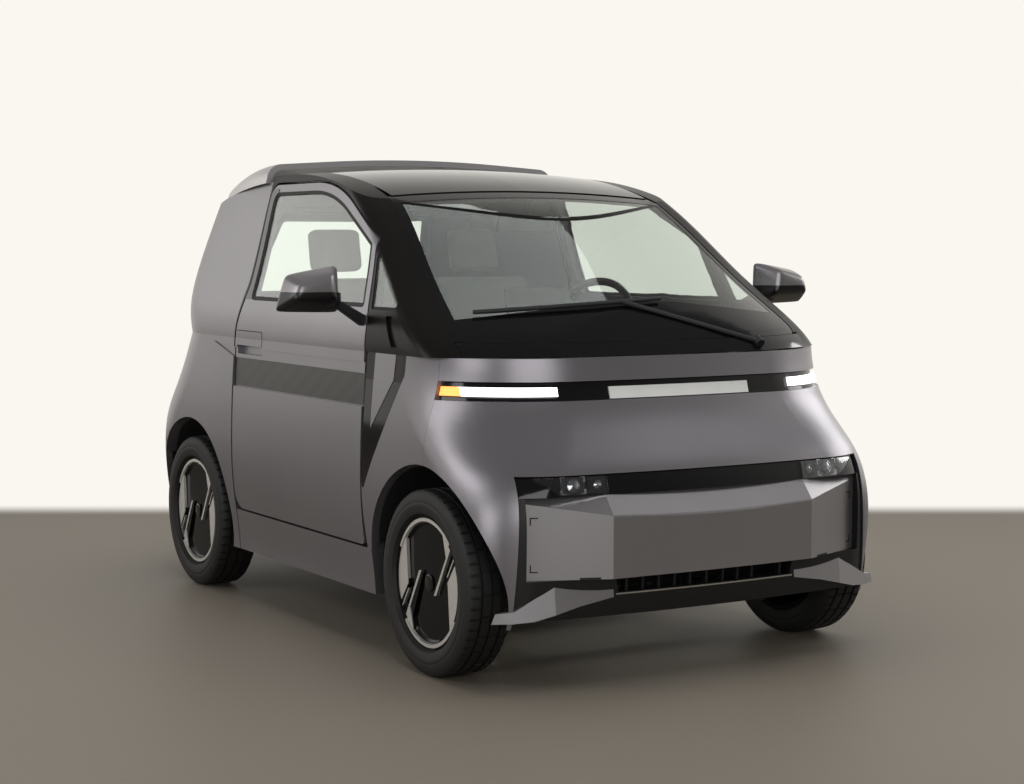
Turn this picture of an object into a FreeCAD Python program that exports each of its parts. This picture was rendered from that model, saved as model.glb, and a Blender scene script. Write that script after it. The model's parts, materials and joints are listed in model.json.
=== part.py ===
import FreeCAD, Part
import Sketcher
import math
import os

doc = FreeCAD.newDocument("Microcar")
sheet = doc.addObject("Spreadsheet::Sheet", "Sizes")
subParts = []

# Driving sizes in millimetres. The car faces -Y, +X is its left side, and z = 0 is the ground.
sizes = {
    "wheelBase": 1830,
    "frontAxleY": -980,
    "tyreRadius": 278.5,
    "tyreWidth": 155,
    "wheelCentreX": 660,
    "rimRadius": 190,
    "rimFlangeRadius": 196,
    "beadHalf": 56,
    "flangeWidth": 6,
    "hubFace": 28,
    "kingpinX": 548,
    "archRadius": 352,
    "linerThickness": 6,
    "panelGap": 0.8,
    "seatGap": 0.3,
    "doorGap": 8,
    "skinThickness": 24,
    "doorThickness": 58,
    "frameThickness": 34,
    "glassThickness": 5,
    "glassInset": 4,
    "sillTop": 332,
    "shoulder": 945,
    "doorFrontY": -585,
    "doorRearY": 440,
    "pillarTopY": 395,
    "doorHingeX": 720,
    "hingeSet": 13,
    "swingRadius": 34,
    "hingeCover": 12,
    "bandTop": 912,
    "bandStep": 877,
    "bandBottom": 775,
    "bandDepth": 9,
    "bladeDepth": 10,
    "doorLineWidth": 26,
    "beltHeight": 1080,
    "windowTop": 1457,
    "roofPeak": 1545,
    "roofPeakY": 270,
    "roofLongRadius": 2050,
    "roofCrossRadius": 6200,
    "roofEdgeX": 500,
    "roofFrontY": -330,
    "lampTop": 622,
    "lampBottom": 562,
    "stripTop": 878,
    "stripBottom": 822,
    "blockCrease": 506,
    "blockBottom": 325,
    "blockHalf": 604,
    "blockFaceHalf": 360,
    "blockFrontY": -1430,
    "blockSideY": -1331,
    "blockBackY": -1300,
    "grilleTop": 320,
    "grilleBottom": 276,
    "grilleHalf": 322,
    "valanceBottom": 208,
    "hatchHalfWidth": 500,
    "hatchHingeY": 882,
    "hatchHingeZ": 1446,
    "hatchBottom": 640,
    "floorTop": 240,
    "floorThickness": 20,
    "tubHalfWidth": 596,
    "batteryLength": 500,
    "batteryWidth": 860,
    "batteryBottom": 190,
    "seatFloor": 400,
    "seatX": 290,
    "dashHalf": 640,
    "jackPadRadius": 28,
    "jackPadBottom": 180,
    "towBoltRadius": 8,
    "towBoltDepth": 38,
    "towBoltX": 240,
    "towBoltHeight": 298,
    "mirrorHeight": 1142,
    "steeringX": 290,
    "steeringRadius": 175,
}

# Each level of the body: height, reach ahead of the front axle, bow radius of the front,
# half width, front corner radius, reach behind the rear axle and rear corner radius.
lowerLevels = {
    "skirt": (188, 405, 4500, 715, 150, 550, 350),
    "bumper": (350, 424, 4500, 732, 180, 590, 400),
    "waist": (500, 430, 4500, 745, 225, 598, 420),
    "lamp": (620, 415, 4500, 745, 300, 570, 420),
    "nose": (720, 345, 4500, 742, 360, 510, 440),
    "strip": (830, 283, 4500, 736, 400, 440, 460),
    "deck": (945, 260, 4500, 728, 400, 375, 460),
}
upperLevels = {
    "shoulderRing": (945, 240, 1300, 728, 120, 375, 460),
    "beltRing": (1060, 80, 1250, 712, 105, 320, 330),
    "lowGlass": (1180, -122, 1260, 674, 90, 235, 200),
    "midGlass": (1315, -332, 1350, 636, 80, 150, 130),
    "topGlass": (1440, -562, 1560, 602, 70, 78, 90),
    "crownRing": (1570, -845, 1800, 568, 60, 20, 80),
}
levelFields = ("Height", "Front", "Bow", "Half", "FrontCorner", "Rear", "RearCorner")

for levels in (lowerLevels, upperLevels):
    for level, values in levels.items():
        for field, value in zip(levelFields, values):
            sizes[level + field] = value

for row, (name, value) in enumerate(sizes.items(), start=1):
    sheet.set(f"A{row}", name)
    sheet.set(f"B{row}", str(value))
    sheet.setAlias(f"B{row}", name)
doc.recompute()


def size(name):
    return float(sheet.get(name))


def point(x, y, z):
    return FreeCAD.Vector(x, y, z)


frontAxleY = size("frontAxleY")
rearAxleY = frontAxleY + size("wheelBase")
gap = size("panelGap")
doorGap = size("doorGap")
seatGap = size("seatGap")
shoulder = size("shoulder")
far = 2000


# Outlines: corners are (a, b, radius), and place turns (a, b) into a point in space.
def outline(corners, place):
    edges = []
    ends = []
    count = len(corners)
    for index, (a, b, radius) in enumerate(corners):
        before = corners[index - 1]
        after = corners[(index + 1) % count]
        corner = FreeCAD.Vector(a, b, 0)
        toBefore = (FreeCAD.Vector(before[0], before[1], 0) - corner).normalize()
        toAfter = (FreeCAD.Vector(after[0], after[1], 0) - corner).normalize()
        if radius == 0:
            ends.append((corner, None, corner))
            continue
        halfAngle = toBefore.getAngle(toAfter) / 2
        reach = radius / math.tan(halfAngle)
        middle = (toBefore + toAfter).normalize() * (radius / math.sin(halfAngle) - radius)
        ends.append((corner + toBefore * reach, corner + middle, corner + toAfter * reach))
    for index, (start, middle, end) in enumerate(ends):
        if middle is not None:
            edges.append(Part.Arc(place(start.x, start.y), place(middle.x, middle.y), place(end.x, end.y)).toShape())
        nextStart = ends[(index + 1) % count][0]
        if end.distanceToPoint(nextStart) > 1e-6:
            edges.append(Part.LineSegment(place(end.x, end.y), place(nextStart.x, nextStart.y)).toShape())
    return Part.Wire(edges)


def sideWire(corners):
    return outline(corners, lambda y, z: point(0, y, z))


def frontWire(corners):
    return outline(corners, lambda x, z: point(x, 0, z))


def planWire(corners):
    return outline(corners, lambda x, y: point(x, y, 0))


def prism(wire, start, length):
    face = Part.Face(wire)
    face.translate(start)
    return face.extrude(length)


def sidePrism(corners, fromX=-far, toX=far, grow=0.0):
    wire = sideWire(corners)
    if grow:
        wire = wire.makeOffset2D(grow)
    return prism(wire, point(fromX, 0, 0), point(toX - fromX, 0, 0))


def frontPrism(corners, fromY=-far, toY=far):
    return prism(frontWire(corners), point(0, fromY, 0), point(0, toY - fromY, 0))


def planPrism(corners, fromZ=0, toZ=far):
    return prism(planWire(corners), point(0, 0, fromZ), point(0, 0, toZ - fromZ))


def block(x, y, z):
    return Part.makeBox(x[1] - x[0], y[1] - y[0], z[1] - z[0], point(x[0], y[0], z[0]))


def mirrored(shape):
    return shape.mirror(point(0, 0, 0), point(1, 0, 0))


# Body surface: horizontal rings with a bowed front, rounded corners and straight sides.
def ring(level, inset):
    height, front, bow, half, frontCorner, rear, rearCorner = (size(level + field) for field in levelFields)
    half -= inset
    bow -= inset
    frontCorner = max(frontCorner - inset, 12)
    rearCorner = max(rearCorner - inset, 12)
    frontY = frontAxleY - front + inset
    rearY = rearAxleY + rear - inset
    bowCentre = frontY + bow
    cornerX = half - frontCorner
    cornerY = bowCentre - math.sqrt((bow - frontCorner) ** 2 - cornerX ** 2)
    outward = FreeCAD.Vector(cornerX, cornerY - bowCentre, 0).normalize()
    touchX = cornerX + outward.x * frontCorner
    touchY = cornerY + outward.y * frontCorner
    turn = (math.atan2(outward.y, outward.x)) / 2
    middleX = cornerX + frontCorner * math.cos(turn)
    middleY = cornerY + frontCorner * math.sin(turn)
    rearX = half - rearCorner
    rearCentreY = rearY - rearCorner
    diagonal = rearCorner * math.sqrt(0.5)

    def at(x, y):
        return point(x, y, height)

    edges = [
        Part.Arc(at(-touchX, touchY), at(0, frontY), at(touchX, touchY)).toShape(),
        Part.Arc(at(touchX, touchY), at(middleX, middleY), at(half, cornerY)).toShape(),
        Part.LineSegment(at(half, cornerY), at(half, rearCentreY)).toShape(),
        Part.Arc(at(half, rearCentreY), at(rearX + diagonal, rearCentreY + diagonal), at(rearX, rearY)).toShape(),
        Part.LineSegment(at(rearX, rearY), at(-rearX, rearY)).toShape(),
        Part.Arc(at(-rearX, rearY), at(-rearX - diagonal, rearCentreY + diagonal), at(-half, rearCentreY)).toShape(),
        Part.LineSegment(at(-half, rearCentreY), at(-half, cornerY)).toShape(),
        Part.Arc(at(-half, cornerY), at(-middleX, middleY), at(-touchX, touchY)).toShape(),
    ]
    return Part.Wire(edges)


def lowerBody(inset):
    return Part.makeLoft([ring(level, inset) for level in lowerLevels], True)


def roofTorus(inset):
    longRadius = size("roofLongRadius") - inset
    crossRadius = size("roofCrossRadius") - inset
    centre = point(0, size("roofPeakY"), size("roofPeak") - size("roofCrossRadius"))
    return Part.makeTorus(crossRadius - longRadius, longRadius, centre, point(0, 1, 0))


def upperBody(inset):
    walls = Part.makeLoft([ring(level, inset) for level in upperLevels], True)
    return walls.common(roofTorus(inset))


lowerInsets = {}
upperInsets = {}


def lowerAt(inset):
    if inset not in lowerInsets:
        lowerInsets[inset] = lowerBody(inset)
    return lowerInsets[inset]


def upperAt(inset):
    if inset not in upperInsets:
        upperInsets[inset] = upperBody(inset)
    return upperInsets[inset]


def lowerShell(outer, inner, region):
    return lowerAt(outer).common(region).cut(lowerAt(inner))


def upperShell(outer, inner, region):
    return upperAt(outer).common(region).cut(upperAt(inner))


def largest(shape):
    solids = sorted(shape.Solids, key=lambda solid: solid.Volume)
    return solids[-1]


def addShape(name, shape, placement=FreeCAD.Placement()):
    feature = doc.addObject("Part::Feature", name)
    feature.Label = name
    feature.Shape = shape
    feature.Placement = placement
    subParts.append(feature)
    return feature


def addPair(stem, leftShape):
    addShape(stem + "_left", leftShape)
    addShape(stem + "_right", mirrored(leftShape))


# Side-view outlines in (y, z), each written once and shared by the pieces that meet there.
doorFrontY = size("doorFrontY")
doorRearY = size("doorRearY")
sillTop = size("sillTop")
belt = size("beltHeight")
windowTop = size("windowTop")
lineWidth = size("doorLineWidth")
pillarTopY = size("pillarTopY")
dividerLeanY = doorFrontY + 105
dividerTopZ = belt + 200

glassCorners = [
    (dividerLeanY - 60 + 2, belt, 12),
    (pillarTopY - lineWidth - 18, belt, 25),
    (pillarTopY - lineWidth + 4, windowTop, 35),
    (-110, windowTop, 700),
    (dividerLeanY, dividerTopZ, 14),
]
doorCorners = [
    (doorFrontY, sillTop + doorGap, 20),
    (doorRearY, sillTop + doorGap, 60),
    (doorRearY, shoulder, 60),
    (pillarTopY - 8, belt + 50, 120),
    (pillarTopY + 12, windowTop + lineWidth, 45),
    (-125, windowTop + lineWidth, 720),
    (dividerLeanY - 22, dividerTopZ + 12, 30),
    (doorFrontY, belt - 60, 60),
]


# Doors
roofEdgeX = size("roofEdgeX")
roofFrontY = size("roofFrontY")
roofRearY = size("hatchHingeY") - 8
doorHingeX = size("doorHingeX")
doorHingeY = doorFrontY + size("hingeSet")
swingRadius = size("swingRadius")
doorThickness = size("doorThickness")
frameThickness = size("frameThickness")
glassInset = size("glassInset")
glassThickness = size("glassThickness")
doorPrism = sidePrism(doorCorners, 0, far)
doorLower = lowerShell(0, doorThickness, doorPrism)
doorUpper = upperShell(0, doorThickness, doorPrism.common(block((0, far), (-far, far), (0, belt - 30))))
doorFrame = upperShell(0, frameThickness, doorPrism)
door = doorLower.fuse([doorUpper, doorFrame]).cut(sidePrism(glassCorners, 0, far))
door = door.cut(block((-far, roofEdgeX + 45), (-far, far), (0, far)))

# The door's side is set back below its shoulder in two steps, with a finger pocket above them.
for top, bottom, depth in (("bandTop", "bandStep", 0.55), ("bandStep", "bandBottom", 1)):
    step = block((600, far), (-far, far), (size(bottom), size(top)))
    door = door.cut(step.cut(lowerAt(size("bandDepth") * depth)))
fingerPocket = block((600, far), (doorRearY - 228, doorRearY - 15), (size("bandTop") - 22, size("bandTop") + 9))
door = door.cut(fingerPocket.cut(lowerAt(24)))

# Hinge barrels turn in a groove along the rear edge of the front wing.
for hingeZ in (430, 770):
    barrel = Part.makeCylinder(swingRadius - seatGap, 60, point(doorHingeX, doorHingeY, hingeZ))
    door = door.fuse(barrel.common(lowerAt(size("hingeCover"))))
door = door.removeSplitter()
doorGlass = upperShell(glassInset, glassInset + glassThickness, sidePrism(glassCorners, 0, far, -seatGap))
addPair("door", largest(door))
addPair("door_glass", largest(doorGlass))

# Mirrors: a rounded head on an arm from the door's front corner.
mirrorHeight = size("mirrorHeight")
mirrorSections = []
for mirrorY, halfHeight, inner, outer in ((-628, 26, 845, 985), (-594, 60, 812, 1004), (-545, 70, 802, 1010)):
    corner = halfHeight * 0.4
    wire = frontWire([
        (inner, mirrorHeight - halfHeight, corner),
        (outer, mirrorHeight - halfHeight, corner),
        (outer, mirrorHeight + halfHeight * 0.75, corner),
        (inner, mirrorHeight + halfHeight, corner),
    ])
    wire.translate(point(0, mirrorY, 0))
    mirrorSections.append(wire)
mirrorHead = Part.makeLoft(mirrorSections, True)
armStart = outline([(-565, 1010, 8), (-520, 1010, 8), (-520, 1050, 8), (-565, 1050, 8)], lambda y, z: point(700, y, z))
armEnd = outline([(-585, 1096, 8), (-555, 1096, 8), (-555, 1122, 8), (-585, 1122, 8)], lambda y, z: point(840, y, z))
openMirror = mirrorHead.fuse(Part.makeLoft([armStart, armEnd], True)).removeSplitter().cut(upperAt(-seatGap))
addPair("mirror", largest(openMirror))

# Side frames: the pillars and the roof rail round the door, with the fixed quarter light.
screenHalfLow = 640
screenHalfHigh = 505
screenLow = 985
screenHigh = 1478


def screenOutline(grow):
    low = screenHalfLow + grow
    high = screenHalfHigh + grow
    bottom = screenLow - grow
    top = screenHigh + grow
    return [(-low, bottom, 30), (low, bottom, 30), (high, top, 40), (-high, top, 40)]


frameRearY = doorRearY + doorGap
quarterFrontCorners = [
    (frameRearY + 2, 0, 0), (frameRearY + 2, shoulder, 60), (pillarTopY + 14, belt + 60, 120), (pillarTopY + 36, far, 0),
]
quarterLight = [
    (doorFrontY - 200, belt - 4, 14), (doorFrontY - 8, belt - 4, 10), (dividerLeanY - 45, dividerTopZ - 14, 12),
]
slotCorners = [(-700, 1058, 5), (-742, 1058, 5), (-812, 966, 5), (-766, 966, 5)]
frameWall = frameThickness + 6
sideFrame = upperShell(0, frameWall, sidePrism([(-far, 0, 0)] + quarterFrontCorners + [(-far, far, 0)], 0, far))
sideFrame = sideFrame.cut(sidePrism(doorCorners, 0, far, doorGap))
sideFrame = sideFrame.cut(frontPrism(screenOutline(0.5), -far, -116))
sideFrame = sideFrame.cut(block((-far, roofEdgeX + gap), (roofFrontY, far), (1300, far)))
sideFrame = sideFrame.cut(block((-far, screenHalfLow), (-far, -200), (0, screenLow + 5)))
sideFrame = sideFrame.cut(block((-far, roofEdgeX + gap), (-far, roofFrontY + 1), (1450, far)))
sideFrame = sideFrame.cut(sidePrism(quarterLight, 0, far))
sideFrame = sideFrame.cut(sidePrism(slotCorners, 0, far).cut(upperAt(glassInset + glassThickness)))
addPair("side_frame", largest(sideFrame))
lightShape = upperShell(glassInset, glassInset + glassThickness, sidePrism(quarterLight, 0, far, -seatGap))
lightLeft = largest(lightShape)
addShape("quarter_lights", Part.Compound([lightLeft, mirrored(lightLeft)]))

# Screens and roof
screen = upperShell(glassInset, glassInset + glassThickness, frontPrism(screenOutline(0), -far, roofFrontY - seatGap))
addShape("windscreen", largest(screen))
cowlHalf = screenHalfLow - gap
cowl = upperShell(0, size("skinThickness"), block((-cowlHalf, cowlHalf), (-far, -960), (shoulder + seatGap, screenLow - seatGap)))
addShape("cowl_panel", largest(cowl))
roof = upperShell(0, frameThickness, block((-roofEdgeX, roofEdgeX), (roofFrontY, roofRearY), (1300, far)))
addShape("roof_panel", largest(roof))


# Roof hoop: a silver bridge that stands off the roof, from one rear quarter to the other.
def hoopSection(y, apex, edge, foot, footX, thickness):
    corners = [(footX, foot, 0), (footX - 16, edge, 60), (0, apex, 5500), (16 - footX, edge, 60), (-footX, foot, 0)]
    corners += [(20 - footX, foot, 0), (36 - footX, edge - thickness, 42), (0, apex - thickness, 5500)]
    corners += [(footX - 36, edge - thickness, 42), (footX - 20, foot, 0)]
    wire = frontWire(corners)
    wire.translate(point(0, y, 0))
    return wire


hoopFeet = [(452, 1492), (650, 1472), (832, 1442)]
hoopTops = [(1596, 1558, 601, 20), (1574, 1538, 600, 20), (1526, 1490, 590, 18)]
hoopSections = []
for (hoopY, foot), (apex, edge, footX, thickness) in zip(hoopFeet, hoopTops):
    hoopSections.append(hoopSection(hoopY, apex, edge, foot, footX, thickness))
addShape("roof_hoop", Part.makeLoft(hoopSections, True))

# Lower body: nose, fenders, quarters, sills and rear bumper.
skin = size("skinThickness")
noseRearY = -1002
archRadius = size("archRadius")
wheelZ = size("tyreRadius")
steerRadius = archRadius - 8


def archCut(axleY, radius):
    wheel = Part.makeCylinder(radius, 2 * far, point(-far, axleY, wheelZ), point(1, 0, 0))
    opening = block((-far, far), (axleY - radius + 12, axleY + radius - 12), (0, wheelZ - 60))
    return wheel.fuse(opening)


frontArch = archCut(frontAxleY, archRadius)
rearArch = archCut(rearAxleY, archRadius)
steerArch = archCut(frontAxleY, steerRadius)
lampTop = size("lampTop")
lampBottom = size("lampBottom")
stripTop = size("stripTop")
stripBottom = size("stripBottom")
maskBottom = 180
maskHalfLow = 641
maskHalfHigh = 622


def maskOutline(bottom, shrink):
    low = maskHalfLow - shrink
    high = maskHalfHigh - shrink
    top = lampTop - shrink
    return [(-low, bottom, 0), (-high, top, 0), (high, top, 0), (low, bottom, 0)]


nose = lowerShell(0, skin, block((-far, far), (-far, noseRearY), (0, stripBottom)))
nose = nose.cut(frontPrism(maskOutline(maskBottom, 0), -far, noseRearY + 150)).cut(frontArch)
addShape("nose_panel", largest(nose))
addShape("bonnet_lip", largest(lowerShell(0, skin, block((-far, far), (-far, noseRearY), (stripTop, shoulder)))))
barRegion = block((-far, far), (-far, noseRearY - 10), (stripBottom - 20, stripTop + 20))
lightBar = lowerShell(12, skin + 10, barRegion)
for low, high in ((0, stripBottom + seatGap), (stripTop - seatGap, shoulder)):
    lightBar = lightBar.cut(block((-far, far), (-far, 0), (low, high)).cut(lowerAt(skin + seatGap)))
addShape("light_bar", largest(lightBar))
daytime = lowerShell(2, 12 - seatGap, block((425, far), (-far, noseRearY - 10), (stripBottom + 14, stripTop - 16)))
daytimeLeft = largest(daytime)
addShape("daytime_lamps", Part.Compound([daytimeLeft, mirrored(daytimeLeft)]))

# The Y-shaped blade behind the front wheel lies flush in a pocket of the wing.
bladeDepth = size("bladeDepth")
bladeCorners = [
    (-560, 960, 0), (-664, 960, 0), (-650, 712, 0), (-791, 868, 12), (-801, 960, 0), (-864, 960, 0), (-860, 885, 30),
    (-672, 624, 0), (-606, 520, 0), (-560, 560, 0),
]
swingGroove = Part.makeCylinder(swingRadius, shoulder, point(doorHingeX, doorHingeY, 0))
wingRegion = block((0, far), (noseRearY + gap, doorFrontY - doorGap), (sillTop + gap, shoulder - seatGap))
wingRegion = wingRegion.cut(frontArch.fuse(swingGroove))
bladePocket = sidePrism(bladeCorners, 400, far).cut(lowerAt(bladeDepth))
addPair("fender", largest(lowerShell(0, skin, wingRegion).cut(bladePocket)))
blade = lowerShell(1.5, bladeDepth - seatGap, wingRegion.common(sidePrism(bladeCorners, 400, far, -seatGap)))
addPair("side_blade", largest(blade))

quarterWall = frameWall
hatchHalf = size("hatchHalfWidth")
hatchBottom = size("hatchBottom")
quarterCorners = [(a + gap, b, radius) for a, b, radius in quarterFrontCorners]
quarterRegion = sidePrism([(far, 0, 0)] + quarterCorners + [(far, far, 0)], 0, far)
hatchOpening = block((-far, hatchHalf + doorGap), (rearAxleY - 150, far), (0, far))
quarterRegion = quarterRegion.cut(hatchOpening)
bumperRegion = block((-far, far), (rearAxleY + archRadius - 60, far), (0, hatchBottom - gap))
quarterLower = lowerShell(0, quarterWall, quarterRegion.cut(rearArch).cut(bumperRegion))
quarterUpper = upperShell(0, quarterWall, quarterRegion.cut(block((0, roofEdgeX + gap), (-far, far), (1300, far))))
quarter = quarterLower.fuse(quarterUpper).removeSplitter()
hoopSeat = [(100, 1529, 0)] + [(y, foot - seatGap, 0) for y, foot in hoopFeet] + [(1000, 1400, 0), (1000, far, 0), (100, far, 0)]
quarter = quarter.cut(sidePrism(hoopSeat))
shoulderEnd = sidePrism([(frameRearY - 5, size("bandTop"), 0), (frameRearY - 5, size("bandStep"), 0), (640, 926, 0)], 400, far)
quarter = quarter.cut(shoulderEnd.cut(lowerAt(size("bandDepth") * 0.55)))
addPair("quarter", largest(quarter))

rearBumper = lowerShell(0, skin, block((-far, far), (rearAxleY + archRadius - 60 + gap, far), (0, hatchBottom - doorGap)))
addShape("rear_bumper", largest(rearBumper.cut(archCut(rearAxleY, archRadius + gap))))

# Sills with two jacking pads each.
sillInnerX = size("tubHalfWidth") + gap
sill = block((sillInnerX, 735), (frontAxleY + archRadius + 4, frameRearY + 2), (188, sillTop)).common(lowerAt(2))
jackPadBottom = size("jackPadBottom")
for padY in (doorFrontY + 85, doorRearY - 80):
    sill = sill.fuse(Part.makeCylinder(size("jackPadRadius"), 20, point(size("wheelCentreX"), padY, jackPadBottom)))
sill = largest(sill)
addShape("sills", Part.Compound([sill, mirrored(sill)]))

# Hatch
hatchHingeZ = size("hatchHingeZ")
hatchTop = hatchHingeZ - 14
hatchHingeY = size("hatchHingeY")
hatchRegion = block((-hatchHalf, hatchHalf), (hatchHingeY + 2, far), (hatchBottom, hatchTop))
hatchShell = lowerShell(0, quarterWall, hatchRegion).fuse(upperShell(0, quarterWall, hatchRegion)).removeSplitter()
rearWindow = [(-400, 1060, 50), (400, 1060, 50), (330, 1392, 50), (-330, 1392, 50)]
tailBand = [(-470, 818, 12), (470, 818, 12), (470, 882, 12), (-470, 882, 12)]
windowPrism = frontPrism(rearWindow, rearAxleY - 150, far)
tailPrism = frontPrism(tailBand, rearAxleY - 150, far)
hatchShell = hatchShell.cut(windowPrism).cut(tailPrism.cut(lowerAt(16)))
for hingeX in (-360, 320):
    barrel = Part.makeCylinder(8 - seatGap, 40, point(hingeX, hatchHingeY, hatchHingeZ), point(1, 0, 0))
    strap = block((hingeX, hingeX + 40), (hatchHingeY, hatchHingeY + 24), (hatchTop - 12, hatchHingeZ))
    hatchShell = hatchShell.fuse([barrel, strap])
addShape("hatch", largest(hatchShell.removeSplitter()))
addShape("hatch_glass", largest(upperShell(glassInset, glassInset + glassThickness, windowPrism)))
addShape("tail_lamp", largest(lowerShell(2, 16 - seatGap, tailPrism)))

# Front mask: lamp band, headlamps, bumper block, valance with its grille, and winglets.
bandHalf = maskHalfHigh - 2
lampBand = lowerShell(10, 60, block((-bandHalf, bandHalf), (-far, noseRearY), (lampBottom, lampTop - gap)))
addShape("lamp_band", largest(lampBand))
lampCorners = [(354, lampBottom + 3, 3), (503, lampBottom + 3, 3), (584, lampTop - 5, 3), (354, lampTop - 5, 3)]
headlamp = largest(lowerShell(1, 10 - seatGap, frontPrism(lampCorners, -far, noseRearY)))
addShape("headlamps", Part.Compound([headlamp, mirrored(headlamp)]))


def below(first, second, third):
    """Everything under the plane through three points."""
    normal = (second - first).cross(third - first).normalize()
    if normal.z < 0:
        normal = -normal
    return Part.Plane(first, normal).toShape(-far, far, -far, far).extrude(-normal * far)


blockHalf = size("blockHalf")
faceHalf = size("blockFaceHalf")
blockFront = size("blockFrontY")
blockSide = size("blockSideY")
blockBack = size("blockBackY")
blockCrease = size("blockCrease")
blockBottom = size("blockBottom")
blockTop = lampBottom - seatGap
blockOutline = [
    (-blockHalf, blockSide, 0), (-faceHalf, blockFront, 0), (0, blockFront - 12, 6000), (faceHalf, blockFront, 0),
    (blockHalf, blockSide, 0), (blockHalf - 20, blockBack, 0), (20 - blockHalf, blockBack, 0),
]
bumperBlock = planPrism(blockOutline, blockBottom, blockTop)
bumperBlock = bumperBlock.common(below(
    point(-faceHalf, blockFront, blockCrease), point(faceHalf, blockFront, blockCrease), point(0, blockFront + 45, blockTop)))
for side in (-1, 1):
    bumperBlock = bumperBlock.common(below(
        point(side * faceHalf, blockFront, blockCrease), point(side * blockHalf, blockSide, blockTop - 16),
        point(side * (blockHalf - 99), blockFront + 85, blockTop)))
bumperBlock = largest(bumperBlock.cut(steerArch))
creases = []
for edge in bumperBlock.Edges:
    middle = edge.valueAt((edge.FirstParameter + edge.LastParameter) / 2)
    if middle.y < blockFront + 1 and middle.z > blockBottom + 5:
        creases.append(edge)
bumperBlock = bumperBlock.makeFillet(12, creases)
addShape("bumper_block", bumperBlock)

valanceBottom = size("valanceBottom")
valance = lowerShell(6, 60, frontPrism(maskOutline(maskBottom, gap), -far, noseRearY))
pocketHalf = blockHalf + gap
blockPocket = planPrism([
    (-pocketHalf, blockSide, 0), (-pocketHalf, -far, 0), (pocketHalf, -far, 0), (pocketHalf, blockSide, 0),
    (blockHalf - 20, blockBack + seatGap, 0), (20 - blockHalf, blockBack + seatGap, 0),
], blockBottom - seatGap, lampTop + 10)
valance = valance.cut(blockPocket).cut(archCut(frontAxleY, archRadius + seatGap))
valance = valance.common(block((-far, far), (-far, far), (valanceBottom, lampBottom - seatGap)))
grilleHalf = size("grilleHalf")
grilleTop = size("grilleTop")
grilleBottom = size("grilleBottom")
grilleOutline = [
    (-grilleHalf + 8, grilleBottom, 6), (grilleHalf - 8, grilleBottom, 6), (grilleHalf, grilleTop, 6), (-grilleHalf, grilleTop, 6),
]
valance = valance.cut(frontPrism(grilleOutline, -far, blockBack))
slats = []
for slatX in (-280, -225, -170, -115, -60, 0, 60, 115, 170, 280):
    slats.append(lowerShell(16, 40, block((slatX - 4, slatX + 4), (-far, blockBack), (grilleBottom - 10, blockBottom - seatGap))))
addShape("front_valance", largest(valance.fuse(slats)))

# Winglets: blades that lean back, each with a free tip ahead of the tyre at full lock.
def wingletPlan(height, lean):
    front = [(324, -1397 + lean, 0), (520, -1382 + lean, 0), (650, -1354 + lean, 0), (716, -1306 + lean / 2, 0)]
    back = [(708, -1292, 0), (640, -1330, 0), (560, -1338, 0), (324, -1340, 0)]
    wire = planWire(front + back)
    wire.translate(point(0, 0, height))
    return wire


wingletOutline = [
    (330, 312, 0), (502, 318, 0), (640, 243, 0), (716, 234, 0), (702, 208, 0), (585, 212, 0), (440, 246, 0), (330, 264, 0),
]
winglet = Part.makeLoft([wingletPlan(190, 0), wingletPlan(325, 18)], True, True)
winglet = winglet.common(frontPrism(wingletOutline, -far, -1150)).cut(lowerAt(6 - seatGap)).cut(steerArch)
winglet = largest(winglet.cut(block((maskHalfLow - 8, far), (-far, far), (0, far)).common(lowerAt(-gap))))
addShape("winglets", Part.Compound([winglet, mirrored(winglet)]))

# Floor: a folded tub under the cabin, a luggage tub with side walls behind it, and two front rails.
tubHalf = size("tubHalfWidth")
floorTop = size("floorTop")
seatFloor = size("seatFloor")
floorUnder = size("floorThickness")
tubCorners = [
    (-636, 900, 0), (-636, floorTop + 30, 40), (-560, floorTop - floorUnder, 40), (-110, floorTop - floorUnder, 20),
    (-86, seatFloor - floorUnder, 20), (462, seatFloor - floorUnder, 0), (462, 520, 0), (442, 520, 0),
    (442, seatFloor, 0), (-102, seatFloor, 20), (-126, floorTop, 20), (-548, floorTop, 40), (-616, floorTop + 46, 40),
    (-616, 900, 0),
]
addShape("floor_tub", sidePrism(tubCorners, -tubHalf, tubHalf))

luggageFront = 450
luggageRear = 1290
luggageHalf = 548
luggageCorners = [
    (luggageFront, 520 + seatGap, 0), (luggageRear, 520 + seatGap, 0), (luggageRear, 620, 0), (luggageRear - 20, 620, 0),
    (luggageRear - 20, 540, 10), (luggageFront, 540, 0),
]
luggage = sidePrism(luggageCorners, -luggageHalf, luggageHalf)
for side in (-1, 1):
    wallX = sorted((side * (luggageHalf - 20), side * luggageHalf))
    wall = block(wallX, (rearAxleY - archRadius - 12, luggageRear), (380, 780))
    luggage = luggage.fuse(wall.common(lowerAt(quarterWall + gap)))
addShape("luggage_tub", luggage.removeSplitter())

railBottom = wheelZ - 80 + seatGap
railRear = -636 - seatGap
rails = block((-420, 420), (blockBack + seatGap, blockBack + 45), (railBottom + 80, railBottom + 180))
for side in (-1, 1):
    railX = sorted((side * 300, side * 350))
    rails = rails.fuse(block(railX, (blockBack + seatGap, railRear), (railBottom, railBottom + 90)))
towSocket = Part.makeCylinder(size("towBoltRadius"), size("towBoltDepth"),
                              point(size("towBoltX"), blockBack + seatGap, size("towBoltHeight")), point(0, 1, 0))
addShape("front_rails", rails.cut(towSocket).removeSplitter())

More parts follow.
